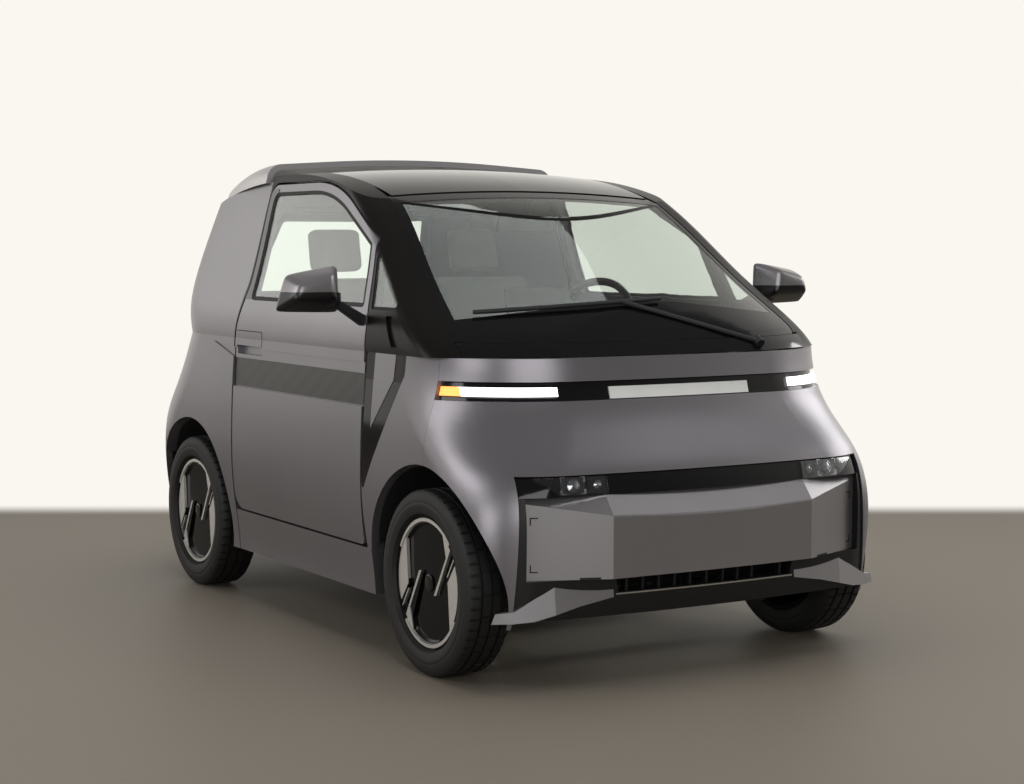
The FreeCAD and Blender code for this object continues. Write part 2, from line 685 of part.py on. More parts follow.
liners = []
for axleY, innerX, wallInset in ((frontAxleY, 425, skin), (rearAxleY, 549, quarterWall)):
    for side in (-1, 1):
        outerX = 740
        tube = Part.makeCylinder(archRadius, outerX - innerX, point(innerX, axleY, wheelZ), point(1, 0, 0))
        bore = Part.makeCylinder(archRadius - size("linerThickness"), outerX - innerX, point(innerX, axleY, wheelZ), point(1, 0, 0))
        liner = tube.cut(bore).common(block((0, far), (-far, far), (wheelZ + 80, far)))
        liner = liner.common(lowerAt(wallInset + seatGap))
        liner = liner.cut(block((0, far), (-640, -600), (0, far))).cut(block((0, far), (-far, blockBack + seatGap), (0, far)))
        liners.append(largest(liner) if side > 0 else mirrored(largest(liner)))
addShape("wheel_liners", Part.Compound(liners))


# Pieces from primitives, each dimension bound to the sheet.
def cylinder(name, radius, length, x, y, z, axis):
    feature = doc.addObject("Part::Cylinder", name)
    feature.setExpression("Radius", radius)
    feature.setExpression("Height", length)
    rotations = {"x": FreeCAD.Rotation(point(0, 1, 0), 90), "y": FreeCAD.Rotation(point(1, 0, 0), -90), "z": FreeCAD.Rotation()}
    feature.Placement = FreeCAD.Placement(point(0, 0, 0), rotations[axis])
    for letter, expression in zip("xyz", (x, y, z)):
        feature.setExpression("Placement.Base." + letter, expression)
    return feature


def box(name, length, width, height, x, y, z):
    feature = doc.addObject("Part::Box", name)
    feature.setExpression("Length", length)
    feature.setExpression("Width", width)
    feature.setExpression("Height", height)
    for letter, expression in zip("xyz", (x, y, z)):
        feature.setExpression("Placement.Base." + letter, expression)
    return feature


def fuse(name, pieces):
    feature = doc.addObject("Part::MultiFuse", name)
    feature.Label = name
    feature.Shapes = pieces
    feature.Refine = True
    return feature


def keep(feature, name):
    feature.Label = name
    subParts.append(feature)
    return feature


batteryTop = "Sizes.seatFloor - Sizes.floorThickness - Sizes.seatGap"
keep(box("battery", "Sizes.batteryWidth", "Sizes.batteryLength", batteryTop + " - Sizes.batteryBottom",
         "-Sizes.batteryWidth / 2", "-62", "Sizes.batteryBottom"), "battery_pack")

rearBeam = cylinder("rearBeam", "38", "2 * 560", "-560", "Sizes.frontAxleY + Sizes.wheelBase", "Sizes.tyreRadius", "x")
rearDrive = box("rearDrive", "300", "240", "200", "-150", "Sizes.frontAxleY + Sizes.wheelBase - 120", "Sizes.tyreRadius - 90")
stubLength = "Sizes.wheelCentreX + Sizes.hubFace - Sizes.seatGap - 540"
rearStubLeft = cylinder("rearStubLeft", "20", stubLength, "540", "Sizes.frontAxleY + Sizes.wheelBase", "Sizes.tyreRadius", "x")
rearStubRight = cylinder("rearStubRight", "20", stubLength, "-540 - (" + stubLength + ")", "Sizes.frontAxleY + Sizes.wheelBase", "Sizes.tyreRadius", "x")
springTop = "520 - Sizes.seatGap"
springs = [cylinder("spring_" + stem, "42", springTop + " - Sizes.tyreRadius", x, "Sizes.frontAxleY + Sizes.wheelBase", "Sizes.tyreRadius", "z")
           for stem, x in (("left", "470"), ("right", "-470"))]
keep(fuse("rearAxle", [rearBeam, rearDrive, rearStubLeft, rearStubRight] + springs), "rear_axle")

for stem, sign in (("left", 1), ("right", -1)):
    mirrorSign = "" if sign > 0 else "-"
    post = cylinder("post_" + stem, "18", "330", f"{sign} * Sizes.kingpinX", "Sizes.frontAxleY", "Sizes.tyreRadius - 121 + Sizes.seatGap", "z")
    spindleLength = "Sizes.wheelCentreX + Sizes.hubFace - Sizes.seatGap - Sizes.kingpinX"
    spindleStart = "Sizes.kingpinX" if sign > 0 else "-Sizes.kingpinX - (" + spindleLength + ")"
    spindle = cylinder("spindle_" + stem, "20", spindleLength, spindleStart, "Sizes.frontAxleY", "Sizes.tyreRadius", "x")
    keep(fuse("knuckle_" + stem, [post, spindle]), "knuckle_" + stem)
armPieces = [box("crossMember", "2 * 330", "90", "50", "-330", "Sizes.frontAxleY - 20", "Sizes.tyreRadius - 130")]
for stem, start in (("left", "300"), ("right", "-Sizes.kingpinX - 24")):
    armPieces.append(box("arm_" + stem, "Sizes.kingpinX + 24 - 300", "50", "22", start, "Sizes.frontAxleY - 25", "Sizes.tyreRadius - 143"))
strutBottom = "Sizes.tyreRadius + 209 + 2 * Sizes.seatGap"
strutLength = "Sizes.archRadius - Sizes.linerThickness - Sizes.seatGap - 213"
for stem, x in (("left", "Sizes.kingpinX"), ("right", "-Sizes.kingpinX")):
    armPieces.append(cylinder("strut_" + stem, "26", strutLength, x, "Sizes.frontAxleY", strutBottom, "z"))
keep(fuse("frontSuspension", armPieces), "front_suspension")

dashFront = -616 + seatGap
dashCorners = [(dashFront, 760, 20), (dashFront, 1000, 20), (-560, 1015, 60), (-390, 1000, 50), (-350, 900, 60), (-420, 760, 60)]
dash = sidePrism(dashCorners, -size("dashHalf"), size("dashHalf"))
columnFoot = point(size("steeringX"), -440, 915)
columnAxis = point(0, 0.9, 0.42).normalize()
column = Part.makeCylinder(24, 150, columnFoot, columnAxis)
addShape("dashboard", dash.fuse(column).removeSplitter())
wheelCentre = columnFoot + columnAxis * 172
rim = Part.makeTorus(size("steeringRadius"), 14, wheelCentre, columnAxis)
hub = Part.makeCylinder(40, 44, columnFoot + columnAxis * (150 + seatGap), columnAxis)
spoke = Part.makeCylinder(11, 2 * size("steeringRadius"), wheelCentre - point(size("steeringRadius"), 0, 0), point(1, 0, 0))
addShape("steering_wheel", rim.fuse([hub, spoke]).removeSplitter())

seatX = size("seatX")
for stem, sign in (("left", 1), ("right", -1)):
    cushion = sidePrism([(-150, 450 + seatGap, 40), (390, 450 + seatGap, 20), (390, 570, 20), (-150, 590, 50)], sign * seatX - 230, sign * seatX + 230)
    back = sidePrism([(330, 470, 20), (430, 470, 20), (560, 1180, 50), (450, 1190, 50)], sign * seatX - 220, sign * seatX + 220)
    head = sidePrism([(478, 1110, 0), (530, 1110, 0), (575, 1345, 28), (500, 1345, 28)], sign * seatX - 90, sign * seatX + 90)
    addShape("seat_pad_" + stem, cushion.fuse([back, head]))
frames = []
for sign in (1, -1):
    frames.append(block((sign * seatX - 200, sign * seatX + 200), (-60, 320), (seatFloor + seatGap, 450)))
addShape("seat_frames", Part.Compound(frames))


def screenPoint(x, height, lift):
    """A point on the windscreen at this x and height, lifted forward off the glass."""
    lower = "shoulderRing" if height < size("beltRingHeight") else "beltRing"
    upper = "beltRing" if height < size("beltRingHeight") else "lowGlass"
    share = (height - size(lower + "Height")) / (size(upper + "Height") - size(lower + "Height"))
    front = size(lower + "Front") + share * (size(upper + "Front") - size(lower + "Front"))
    bow = size(lower + "Bow") + share * (size(upper + "Bow") - size(lower + "Bow"))
    return point(x, frontAxleY - front - lift + bow - math.sqrt(bow ** 2 - x ** 2), height)


def tube(path, radius):
    start = path.Edges[0]
    circle = Part.Circle(start.valueAt(start.FirstParameter), start.tangentAt(start.FirstParameter), radius)
    return Part.Wire(path).makePipeShell([Part.Wire(circle.toShape())], True, True)


wiperLift = 22
bladeEnds = (screenPoint(-540, 1074, wiperLift), screenPoint(-220, 1092, wiperLift), screenPoint(95, 1108, wiperLift))
wiperBlade = tube(Part.Wire(Part.Arc(*bladeEnds).toShape()), 7)
pivot = screenPoint(370, 985 - 12, 20)
armTop = screenPoint(-60, 1101, wiperLift)
wiperArm = tube(Part.Wire(Part.LineSegment(pivot, armTop).toShape()), 8)
boss = Part.makeCylinder(15, 30, pivot - point(0, 12, 8), point(0, 1, 0.6))
wiper = wiperBlade.fuse([wiperArm, boss]).removeSplitter().cut(upperAt(-seatGap))
addShape("wiper", largest(wiper))

# Wheels: turned sections in sketches, each corner tied to the sheet.
def originPlane(body, role):
    return next(plane for plane in body.Origin.OriginFeatures if plane.Role == role)


def boundSketch(body, role, name, loops):
    sketch = body.newObject("Sketcher::SketchObject", name)
    sketch.AttachmentSupport = (originPlane(body, role), "")
    sketch.MapMode = "FlatFace"
    first = 0
    for loop in loops:
        count = len(loop)
        for index in range(count):
            start = 2 * math.pi * index / count
            end = 2 * math.pi * (index + 1) / count
            sketch.addGeometry(Part.LineSegment(point(math.cos(start), math.sin(start), 0), point(math.cos(end), math.sin(end), 0)))
        for index, (across, up) in enumerate(loop):
            line = first + index
            lineBefore = first + (index - 1) % count
            sketch.addConstraint(Sketcher.Constraint("Coincident", line, 1, lineBefore, 2))
            for kind, expression in (("DistanceX", across), ("DistanceY", up)):
                constraint = sketch.addConstraint(Sketcher.Constraint(kind, -1, 1, line, 1, 1.0))
                sketch.setExpression(f"Constraints[{constraint}]", expression)
        first += count
    return sketch


def turnedBody(name, side, profile, centreY):
    body = doc.addObject("PartDesign::Body", name)
    sketch = boundSketch(body, "XZ_Plane", name + "_section", [[(f"{side} * ({across})", up) for across, up in profile]])
    turn = body.newObject("PartDesign::Revolution", name + "_turn")
    turn.Profile = sketch
    turn.ReferenceAxis = (sketch, ["H_Axis"])
    turn.Angle = 360
    body.Tip = turn
    body.setExpression("Placement.Base.x", f"{side} * Sizes.wheelCentreX")
    body.setExpression("Placement.Base.y", centreY)
    body.setExpression("Placement.Base.z", "Sizes.tyreRadius")
    doc.recompute()
    return body, turn


def roundCircles(body, base, name, radius, circles):
    edges = []
    for index, edge in enumerate(base.Shape.Edges, start=1):
        if not isinstance(edge.Curve, Part.Circle):
            continue
        for across, high in circles:
            if abs(edge.Curve.Center.x - across) < 0.1 and abs(edge.Curve.Radius - high) < 0.1:
                edges.append(f"Edge{index}")
    fillet = body.newObject("PartDesign::Fillet", name)
    fillet.Base = (base, edges)
    fillet.Radius = radius
    body.Tip = fillet
    doc.recompute()
    return fillet


tyreProfile = [
    ("Sizes.seatGap - Sizes.beadHalf", "Sizes.rimRadius + Sizes.seatGap"),
    ("Sizes.beadHalf - Sizes.seatGap", "Sizes.rimRadius + Sizes.seatGap"),
    ("Sizes.beadHalf - Sizes.seatGap", "Sizes.rimFlangeRadius + 2"),
    ("Sizes.tyreWidth / 2 - 10", "Sizes.rimFlangeRadius + 8"),
    ("Sizes.tyreWidth / 2", "Sizes.tyreRadius - 42"),
    ("Sizes.tyreWidth / 2 - 10", "Sizes.tyreRadius"),
    ("10 - Sizes.tyreWidth / 2", "Sizes.tyreRadius"),
    ("-Sizes.tyreWidth / 2", "Sizes.tyreRadius - 42"),
    ("10 - Sizes.tyreWidth / 2", "Sizes.rimFlangeRadius + 8"),
    ("Sizes.seatGap - Sizes.beadHalf", "Sizes.rimFlangeRadius + 2"),
]
rimProfile = [
    ("Sizes.hubFace", "0"),
    ("Sizes.hubFace", "70"),
    ("Sizes.hubFace + 6", "Sizes.rimRadius - 42"),
    ("20", "Sizes.rimRadius - 14"),
    ("4 - Sizes.beadHalf", "Sizes.rimRadius - 12"),
    ("-Sizes.beadHalf - Sizes.flangeWidth", "Sizes.rimRadius - 6"),
    ("-Sizes.beadHalf - Sizes.flangeWidth", "Sizes.rimFlangeRadius"),
    ("-Sizes.beadHalf", "Sizes.rimFlangeRadius"),
    ("-Sizes.beadHalf", "Sizes.rimRadius"),
    ("Sizes.beadHalf", "Sizes.rimRadius"),
    ("Sizes.beadHalf", "Sizes.rimFlangeRadius"),
    ("Sizes.beadHalf + Sizes.flangeWidth", "Sizes.rimFlangeRadius"),
    ("Sizes.beadHalf + Sizes.flangeWidth", "Sizes.rimRadius - 5"),
    ("Sizes.beadHalf - 3", "Sizes.rimRadius - 13"),
    ("Sizes.beadHalf - 8", "Sizes.rimRadius - 20"),
    ("Sizes.beadHalf - 6", "60"),
    ("Sizes.beadHalf - 4", "0"),
]

# Raised plates on the rim's face, as shares of the rim's radius: a crescent and a slanted bar, each twice.
crescent = [(0.78, 0.59), (0.64, -0.09), (0.85, -0.51), (0.98, -0.15), (0.96, 0.25)]
slantedBar = [(0.25, 0.11), (0.17, 0.13), (0.53, -0.62), (0.46, -0.87), (0.59, -0.79), (0.71, -0.69), (0.63, -0.60)]
facePlates = []
for plate in (crescent, slantedBar):
    for turned in (1, -1):
        facePlates.append([(f"{turned * y} * Sizes.rimRadius", f"{turned * z} * Sizes.rimRadius") for y, z in plate])
halfTyre = size("tyreWidth") / 2
axles = {"front": "Sizes.frontAxleY", "rear": "Sizes.frontAxleY + Sizes.wheelBase"}
for end, axle in axles.items():
    for stem, side in (("left", 1), ("right", -1)):
        tyre, turned = turnedBody(f"tyre_{end}_{stem}", side, tyreProfile, axle)
        shoulders = [(x, size("tyreRadius")) for x in (halfTyre - 10, 10 - halfTyre)]
        rounded = roundCircles(tyre, turned, tyre.Name + "_shoulders", 12, shoulders)
        walls = [(x, size("tyreRadius") - 42) for x in (halfTyre, -halfTyre)]
        roundCircles(tyre, rounded, tyre.Name + "_walls", 30, walls)
        keep(tyre, f"tyre_{end}_{stem}")
        rim, turned = turnedBody(f"rim_{end}_{stem}", side, rimProfile, axle)
        sketch = boundSketch(rim, "YZ_Plane", rim.Name + "_plates", facePlates)
        sketch.setExpression("AttachmentOffset.Base.z", f"{side} * (Sizes.beadHalf - 12)")
        pad = rim.newObject("PartDesign::Pad", rim.Name + "_face")
        pad.Profile = sketch
        pad.setExpression("Length", "14")
        pad.Reversed = side < 0
        rim.Tip = pad
        keep(rim, f"rim_{end}_{stem}")

doc.recompute()
for feature in doc.Objects:
    if "Invalid" in feature.State or "Error" in feature.State:
        raise RuntimeError(f"{feature.Label} did not build")
unsound = [feature.Label for feature in subParts if feature.Shape.isNull() or not feature.Shape.isValid()]
if unsound:
    raise RuntimeError(f"no sound shape: {unsound}")

os.makedirs("parts", exist_ok=True)
for feature in subParts:
    feature.Shape.exportStep(f"parts/{feature.Label}.step")
    bounds = feature.Shape.BoundBox
    print(feature.Label, len(feature.Shape.Solids), round(feature.Shape.Volume / 1e6, 3),
          [round(value) for value in (bounds.XMin, bounds.XMax, bounds.YMin, bounds.YMax, bounds.ZMin, bounds.ZMax)])
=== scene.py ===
import bmesh
import bpy
import json
import math
from mathutils import Matrix, Vector
from mathutils.bvhtree import BVHTree


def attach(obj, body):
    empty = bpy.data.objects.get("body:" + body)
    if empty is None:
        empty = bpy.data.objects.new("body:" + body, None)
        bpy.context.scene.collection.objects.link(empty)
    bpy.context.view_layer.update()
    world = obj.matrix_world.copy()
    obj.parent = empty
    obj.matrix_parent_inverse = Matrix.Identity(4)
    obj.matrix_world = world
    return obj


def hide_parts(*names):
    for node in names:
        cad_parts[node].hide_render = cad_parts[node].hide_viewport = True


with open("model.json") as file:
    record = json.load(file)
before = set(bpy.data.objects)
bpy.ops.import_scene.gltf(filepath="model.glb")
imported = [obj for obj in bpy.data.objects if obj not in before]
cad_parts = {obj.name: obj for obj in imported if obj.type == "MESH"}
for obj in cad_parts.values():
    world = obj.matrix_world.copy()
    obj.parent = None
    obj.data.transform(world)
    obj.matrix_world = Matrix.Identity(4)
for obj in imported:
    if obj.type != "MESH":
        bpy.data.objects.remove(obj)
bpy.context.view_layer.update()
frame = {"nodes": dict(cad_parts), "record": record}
nodes = frame["nodes"]
scene = bpy.context.scene
scene.view_settings.view_transform = "Standard"
millimetre = 0.001


# Colours are sRGB hex values.
def toLinear(hexColour):
    channels = [int(hexColour[i:i + 2], 16) / 255 for i in (1, 3, 5)]
    return [c / 12.92 if c <= 0.04045 else ((c + 0.055) / 1.055) ** 2.4 for c in channels] + [1]


def addNode(tree, kind, settings=None, inputs=None, links=None):
    node = tree.nodes.new(kind)
    for name, value in (settings or {}).items():
        setattr(node, name, value)
    for name, value in (inputs or {}).items():
        node.inputs[name].default_value = value
    for name, source in (links or {}).items():
        tree.links.new(source, node.inputs[name])
    return node


def startMaterial(name, colour, inputs):
    material = bpy.data.materials.new(name)
    material.use_nodes = True
    tree = material.node_tree
    shader = tree.nodes["Principled BSDF"]
    shader.inputs["Base Color"].default_value = toLinear(colour)
    for socket, value in inputs.items():
        shader.inputs[socket].default_value = value
    place = addNode(tree, "ShaderNodeTexCoord").outputs["Object"]
    return material, tree, shader, place


def addBump(tree, shader, height, depthMm, strength):
    values = {"Strength": strength, "Distance": depthMm * millimetre}
    bump = addNode(tree, "ShaderNodeBump", None, values, {"Height": height})
    tree.links.new(bump.outputs["Normal"], shader.inputs["Normal"])


def mixColours(tree, factor, first, second, socket):
    mix = addNode(tree, "ShaderNodeMix", {"data_type": "RGBA"})
    tree.links.new(factor, mix.inputs["Factor"])
    mix.inputs["A"].default_value = toLinear(first)
    mix.inputs["B"].default_value = toLinear(second)
    tree.links.new(mix.outputs["Result"], socket)


def perMetre(sizeMm):
    return 1 / (sizeMm * millimetre)


def addMaths(tree, operation, values, links):
    return addNode(tree, "ShaderNodeMath", {"operation": operation}, values, links).outputs["Value"]


def smoothRange(tree, value, low, high):
    limits = {"From Min": low, "From Max": high}
    ramp = addNode(tree, "ShaderNodeMapRange", {"interpolation_type": "SMOOTHSTEP"}, limits, {"Value": value})
    return ramp.outputs["Result"]


def noiseFactor(tree, place, sizeMm, detail, roughness=0.5):
    values = {"Scale": perMetre(sizeMm), "Detail": detail, "Roughness": roughness}
    return addNode(tree, "ShaderNodeTexNoise", None, values, {"Vector": place}).outputs["Fac"]


# Bands across one axis, one in every period; the node's own wave repeats every pi / 10 units.
def waveFactor(tree, place, direction, periodMm):
    values = {"Scale": perMetre(periodMm) * math.pi / 10, "Distortion": 0.0}
    wave = addNode(tree, "ShaderNodeTexWave", {"bands_direction": direction}, values, {"Vector": place})
    return wave.outputs["Fac"]


def cellDistance(tree, place, sizeMm, settings=None):
    cells = addNode(tree, "ShaderNodeTexVoronoi", settings, {"Scale": perMetre(sizeMm)}, {"Vector": place})
    return cells.outputs["Distance"]


# 0 below a height in metres and 1 above it.
def aboveHeight(tree, place, height):
    parts = addNode(tree, "ShaderNodeSeparateXYZ", links={"Vector": place})
    return addMaths(tree, "GREATER_THAN", {1: height}, {0: parts.outputs["Z"]})


# Satin metallic car paint, sprayed over aluminium and plastic: a soft sheen with a fine flake
# and no sharp reflections.
def satinPaint(name, dark, light):
    values = {"Metallic": 0.78, "Roughness": 0.36, "Coat Weight": 0.15, "Coat Roughness": 0.25}
    material, tree, shader, place = startMaterial(name, light, values)
    flake = noiseFactor(tree, place, 1.6, 2.0, 0.6)
    cloud = noiseFactor(tree, place, 420, 1.0)
    speck = addMaths(tree, "MULTIPLY", {1: 0.5}, {0: flake})
    total = addMaths(tree, "MULTIPLY_ADD", {1: 0.5}, {0: cloud, 2: speck})
    mixColours(tree, total, dark, light, shader.inputs["Base Color"])
    addBump(tree, shader, flake, 0.02, 0.10)
    return material


# Gloss black ABS or painted glass: near-black with sharp reflections and a faint orange peel.
def glossBlack(name, colour, roughness, sheen=0.5):
    values = {"Roughness": roughness, "Specular IOR Level": sheen, "IOR": 1.45}
    material, tree, shader, place = startMaterial(name, colour, values)
    addBump(tree, shader, noiseFactor(tree, place, 7, 1.0), 0.05, 0.05)
    return material


# Black blade behind the front wheel: satin in its upper part and high gloss below the bend.
def twoSheenBlack(name, gloss, satin, height):
    values = {"Specular IOR Level": 0.25, "IOR": 1.5}
    material, tree, shader, place = startMaterial(name, gloss["colour"], values)
    upper = aboveHeight(tree, place, height)
    duller = satin["roughness"] - gloss["roughness"]
    rough = addMaths(tree, "MULTIPLY_ADD", {1: duller, 2: gloss["roughness"]}, {0: upper})
    tree.links.new(rough, shader.inputs["Roughness"])
    mixColours(tree, upper, gloss["colour"], satin["colour"], shader.inputs["Base Color"])
    return material


# Two-tone mirror shell: satin grey paint on the cap, gloss black under it.
def mirrorShell(name, cap, low, height, metallic):
    values = {"Roughness": 0.34, "Coat Weight": 0.2, "Coat Roughness": 0.15}
    material, tree, shader, place = startMaterial(name, cap, values)
    upper = aboveHeight(tree, place, height)
    tree.links.new(addMaths(tree, "MULTIPLY", {1: metallic}, {0: upper}), shader.inputs["Metallic"])
    mixColours(tree, upper, low, cap, shader.inputs["Base Color"])
    return material


# Grained polypropylene or vinyl: dull, with a fine leather-like moulded grain.
def grainedPlastic(name, colour, worn, grainMm, roughness):
    material, tree, shader, place = startMaterial(name, colour, {"Roughness": roughness})
    grain = cellDistance(tree, place, grainMm, {"feature": "DISTANCE_TO_EDGE"})
    mixColours(tree, noiseFactor(tree, place, 160, 3.0), colour, worn, shader.inputs["Base Color"])
    addBump(tree, shader, grain, 0.15, 0.25)
    return material


# Film on the door's dark band: satin black with ribs that run diagonally, 57 mm apart.
def ribbedFilm(name, colour, line, ribMm, slant):
    values = {"Roughness": 0.4, "Coat Weight": 0.1, "Coat Roughness": 0.2}
    material, tree, shader, place = startMaterial(name, colour, values)
    turnedPlace = addNode(
        tree, "ShaderNodeMapping", None, {"Rotation": (math.radians(slant), 0, 0)}, {"Vector": place})
    ribs = waveFactor(tree, turnedPlace.outputs["Vector"], "Z", ribMm)
    mixColours(tree, ribs, colour, line, shader.inputs["Base Color"])
    addBump(tree, shader, ribs, 0.3, 0.3)
    return material


# Tinted safety glass: clear with a faint grey-green body tint.
def safetyGlass(name, tint, dust):
    values = {"Roughness": 0.0, "Transmission Weight": 1.0, "IOR": 1.45}
    material, tree, shader, place = startMaterial(name, tint, values)
    mixColours(tree, noiseFactor(tree, place, 240, 2.0), tint, dust, shader.inputs["Base Color"])
    return material


# Cast or rolled metal, painted or bare: broken reflections from a coarse grain.
def plainMetal(name, colour, cast, grainMm, roughness):
    material, tree, shader, place = startMaterial(name, colour, {"Metallic": 1.0, "Roughness": roughness})
    grain = noiseFactor(tree, place, grainMm, 4.0)
    mixColours(tree, grain, colour, cast, shader.inputs["Base Color"])
    addBump(tree, shader, grain, 0.1, 0.3)
    return material


# Vulcanised rubber: dull black, with fine specks of grey dust.
def rubber(name, colour, dust):
    material, tree, shader, place = startMaterial(name, colour, {"Roughness": 0.62})
    fine = noiseFactor(tree, place, 3, 3.0)
    mixColours(tree, fine, colour, dust, shader.inputs["Base Color"])
    addBump(tree, shader, fine, 0.1, 0.3)
    return material


# Running lamp: white light guide whose outer end turns amber, for the indicator.
def runningLamp(name, white, amber, fromMetre, strength):
    values = {"Roughness": 0.25, "Emission Strength": strength}
    material, tree, shader, place = startMaterial(name, white, values)
    parts = addNode(tree, "ShaderNodeSeparateXYZ", links={"Vector": place})
    across = addMaths(tree, "ABSOLUTE", None, {0: parts.outputs["X"]})
    outer = addMaths(tree, "GREATER_THAN", {1: fromMetre}, {0: across})
    for socket in ("Base Color", "Emission Color"):
        mixColours(tree, outer, white, amber, shader.inputs[socket])
    return material


# Tail lamp: deep red acrylic over a row of upright light guides, one every 12 mm.
def tailLens(name, red, glow, unlit, guideMm):
    values = {"Roughness": 0.08, "Coat Weight": 1.0, "Coat Roughness": 0.03, "Emission Strength": 0.25}
    material, tree, shader, place = startMaterial(name, red, values)
    guides = waveFactor(tree, place, "X", guideMm)
    mixColours(tree, guides, red, glow, shader.inputs["Base Color"])
    mixColours(tree, guides, unlit, glow, shader.inputs["Emission Color"])
    return material


# Knitted polyester: soft, with small dimples between paler loops of yarn; the dimples are darker as painted
# shade in the hollows.
def knittedCloth(name, colour, paintedShade, loopMm):
    material, tree, shader, place = startMaterial(name, colour, {"Roughness": 0.85, "Sheen Weight": 0.25})
    yarn = cellDistance(tree, place, loopMm)
    # Painted shade: the darker colour falls where the bump sinks, at each dimple's middle.
    mixColours(tree, yarn, paintedShade, colour, shader.inputs["Base Color"])
    addBump(tree, shader, yarn, 0.4, 0.4)
    return material


# Printed polycarbonate strip, blank: smooth white with a faint mottle.
def plainStrip(name, white, grey):
    values = {"Roughness": 0.3, "Coat Weight": 0.3, "Coat Roughness": 0.1}
    material, tree, shader, place = startMaterial(name, white, values)
    mixColours(tree, noiseFactor(tree, place, 60, 1.0), white, grey, shader.inputs["Base Color"])
    return material


paint = satinPaint("satinGreyPaint", "#777479", "#8f8c90")
paintBright = satinPaint("satinSilverPaint", "#8a888a", "#a4a1a3")
hoopPaint = satinPaint("satinSilverHoop", "#aaa8aa", "#c2c0c0")
black = glossBlack("glossBlackPanel", "#0b0b0d", 0.08)
satinBlack = glossBlack("satinBlackPanel", "#131211", 0.32, 0.15)
dullBlack = glossBlack("dullBlackValance", "#0c0c0c", 0.5)
bladeGloss = {"colour": "#0c0c0e", "roughness": 0.08}
bladeSatin = {"colour": "#201f1e", "roughness": 0.46}
blade = twoSheenBlack("twoSheenBlade", bladeGloss, bladeSatin, 0.862)
mirrorPaint = mirrorShell("mirrorShell", "#8a878a", "#0b0b0c", 1.132, 0.7)
bandFilm = ribbedFilm("ribbedDoorFilm", "#161615", "#242422", 56.55, 32)
plastic = grainedPlastic("grainedPolypropylene", "#131315", "#1d1d1f", 1.2, 0.6)
cabin = grainedPlastic("cabinPlastic", "#1c1c1f", "#29292b", 1.0, 0.55)
seatTrim = grainedPlastic("armRestVinyl", "#2a2b2d", "#35363a", 1.4, 0.5)
carpet = knittedCloth("floorCarpet", "#222325", "#0f0f10", 3.0)
linerCloth = knittedCloth("headlinerCloth", "#b9b8b2", "#a3a29d", 2.0)
gripLeather = grainedPlastic("gripLeather", "#141415", "#1e1e20", 1.1, 0.45)
glass = safetyGlass("greenTintGlass", "#f4faf6", "#eef5f0")
lens = safetyGlass("clearLens", "#fbfcfd", "#f6f8fa")
redLens = tailLens("tailLens", "#5a0709", "#b0181b", "#1a0203", 12)
daylight = runningLamp("runningLamp", "#fbf9ff", "#f08a3c", 0.660, 2.2)
tyreRubber = rubber("tyreRubber", "#090909", "#111110")
sealRubber = rubber("sealRubber", "#0c0c0d", "#131314")
alloy = glossBlack("glossBlackAlloy", "#08080a", 0.12, 0.2)
machined = plainMetal("diamondTurnedAlloy", "#e6e4e0", "#d5d3cf", 2, 0.45)
chrome = plainMetal("brightChrome", "#d8d8d8", "#c4c4c6", 40, 0.10)
lampGrey = plainMetal("lampReflector", "#6d6f70", "#545658", 20, 0.22)
projector = plainMetal("projectorLens", "#b9bcbf", "#8f9295", 18, 0.12)
auxGrey = plainMetal("auxReflector", "#4d4f50", "#3c3d3f", 20, 0.3)
silvered = plainMetal("silveredMirror", "#cfd4d6", "#c6cccf", 90, 0.03)
seam = glossBlack("shutLine", "#050505", 0.6)
castIron = plainMetal("paintedCastIron", "#232325", "#2f2f31", 6, 0.6)
sheetAlloy = plainMetal("millAluminium", "#8d8f92", "#a2a4a6", 12, 0.45)
seatCloth = knittedCloth("lightGreyKnit", "#9a9894", "#7f7d79", 2.4)
plateWhite = plainStrip("blankStrip", "#e2e3e0", "#d6d7d4")

finishes = {
    "body_paint": paint, "trim_paint": paintBright, "black_panel": black, "black_plastic": plastic,
    "glass": glass, "lamp_lens": lens, "tyre": tyreRubber, "rim_alloy": alloy, "chassis_iron": castIron,
    "floor_alloy": sheetAlloy, "battery_case": sheetAlloy, "cabin_plastic": cabin, "seat_cloth": seatCloth,
}
for entry in frame["record"]["subparts"]:
    node = nodes[entry["node"]]
    node.data.materials.clear()
    node.data.materials.append(finishes[entry["material_slot"]])
ownFinishes = {
    "daytime_lamps": daylight, "tail_lamp": redLens, "side_blade_left": blade, "side_blade_right": blade,
    "mirror_left": mirrorPaint, "mirror_right": mirrorPaint,
    "side_frame_left": satinBlack, "side_frame_right": satinBlack,
    "front_valance": dullBlack, "front_rails": castIron, "roof_hoop": hoopPaint,
}
for name, material in ownFinishes.items():
    nodes[name].data.materials[0] = material


def copyNode(name):
    mesh = bmesh.new()
    mesh.from_mesh(nodes[name].data)
    bmesh.ops.remove_doubles(mesh, verts=mesh.verts, dist=0.00002)
    mesh.normal_update()
    return mesh


def crop(mesh, **ranges):
    for index, axis in enumerate("xyz"):
        for limit, turn in zip(ranges.get(axis, ()), (-1, 1)):
            point = Vector((0, 0, 0))
            normal = Vector((0, 0, 0))
            point[index] = limit
            normal[index] = turn
            bisect(mesh, point, normal)
    return mesh


# Keeps what lies behind the plane.
def bisect(mesh, point, normal):
    everything = mesh.verts[:] + mesh.edges[:] + mesh.faces[:]
    bmesh.ops.bisect_plane(mesh, geom=everything, plane_co=point, plane_no=normal, clear_outer=True)


# A copy of a node's skin: the faces that look along one direction, cropped to a box.
def skinPatch(node, along, least=0.5, **ranges):
    mesh = copyNode(node)
    direction = Vector(along)
    away = [face for face in mesh.faces if face.normal.dot(direction) < least]
    bmesh.ops.delete(mesh, geom=away, context="FACES")
    return crop(mesh, **ranges)


# A crop box that is given for the left side, on either side.
def onSide(ranges, side):
    low, high = ranges["x"]
    return dict(ranges, x=(low, high) if side > 0 else (-high, -low))


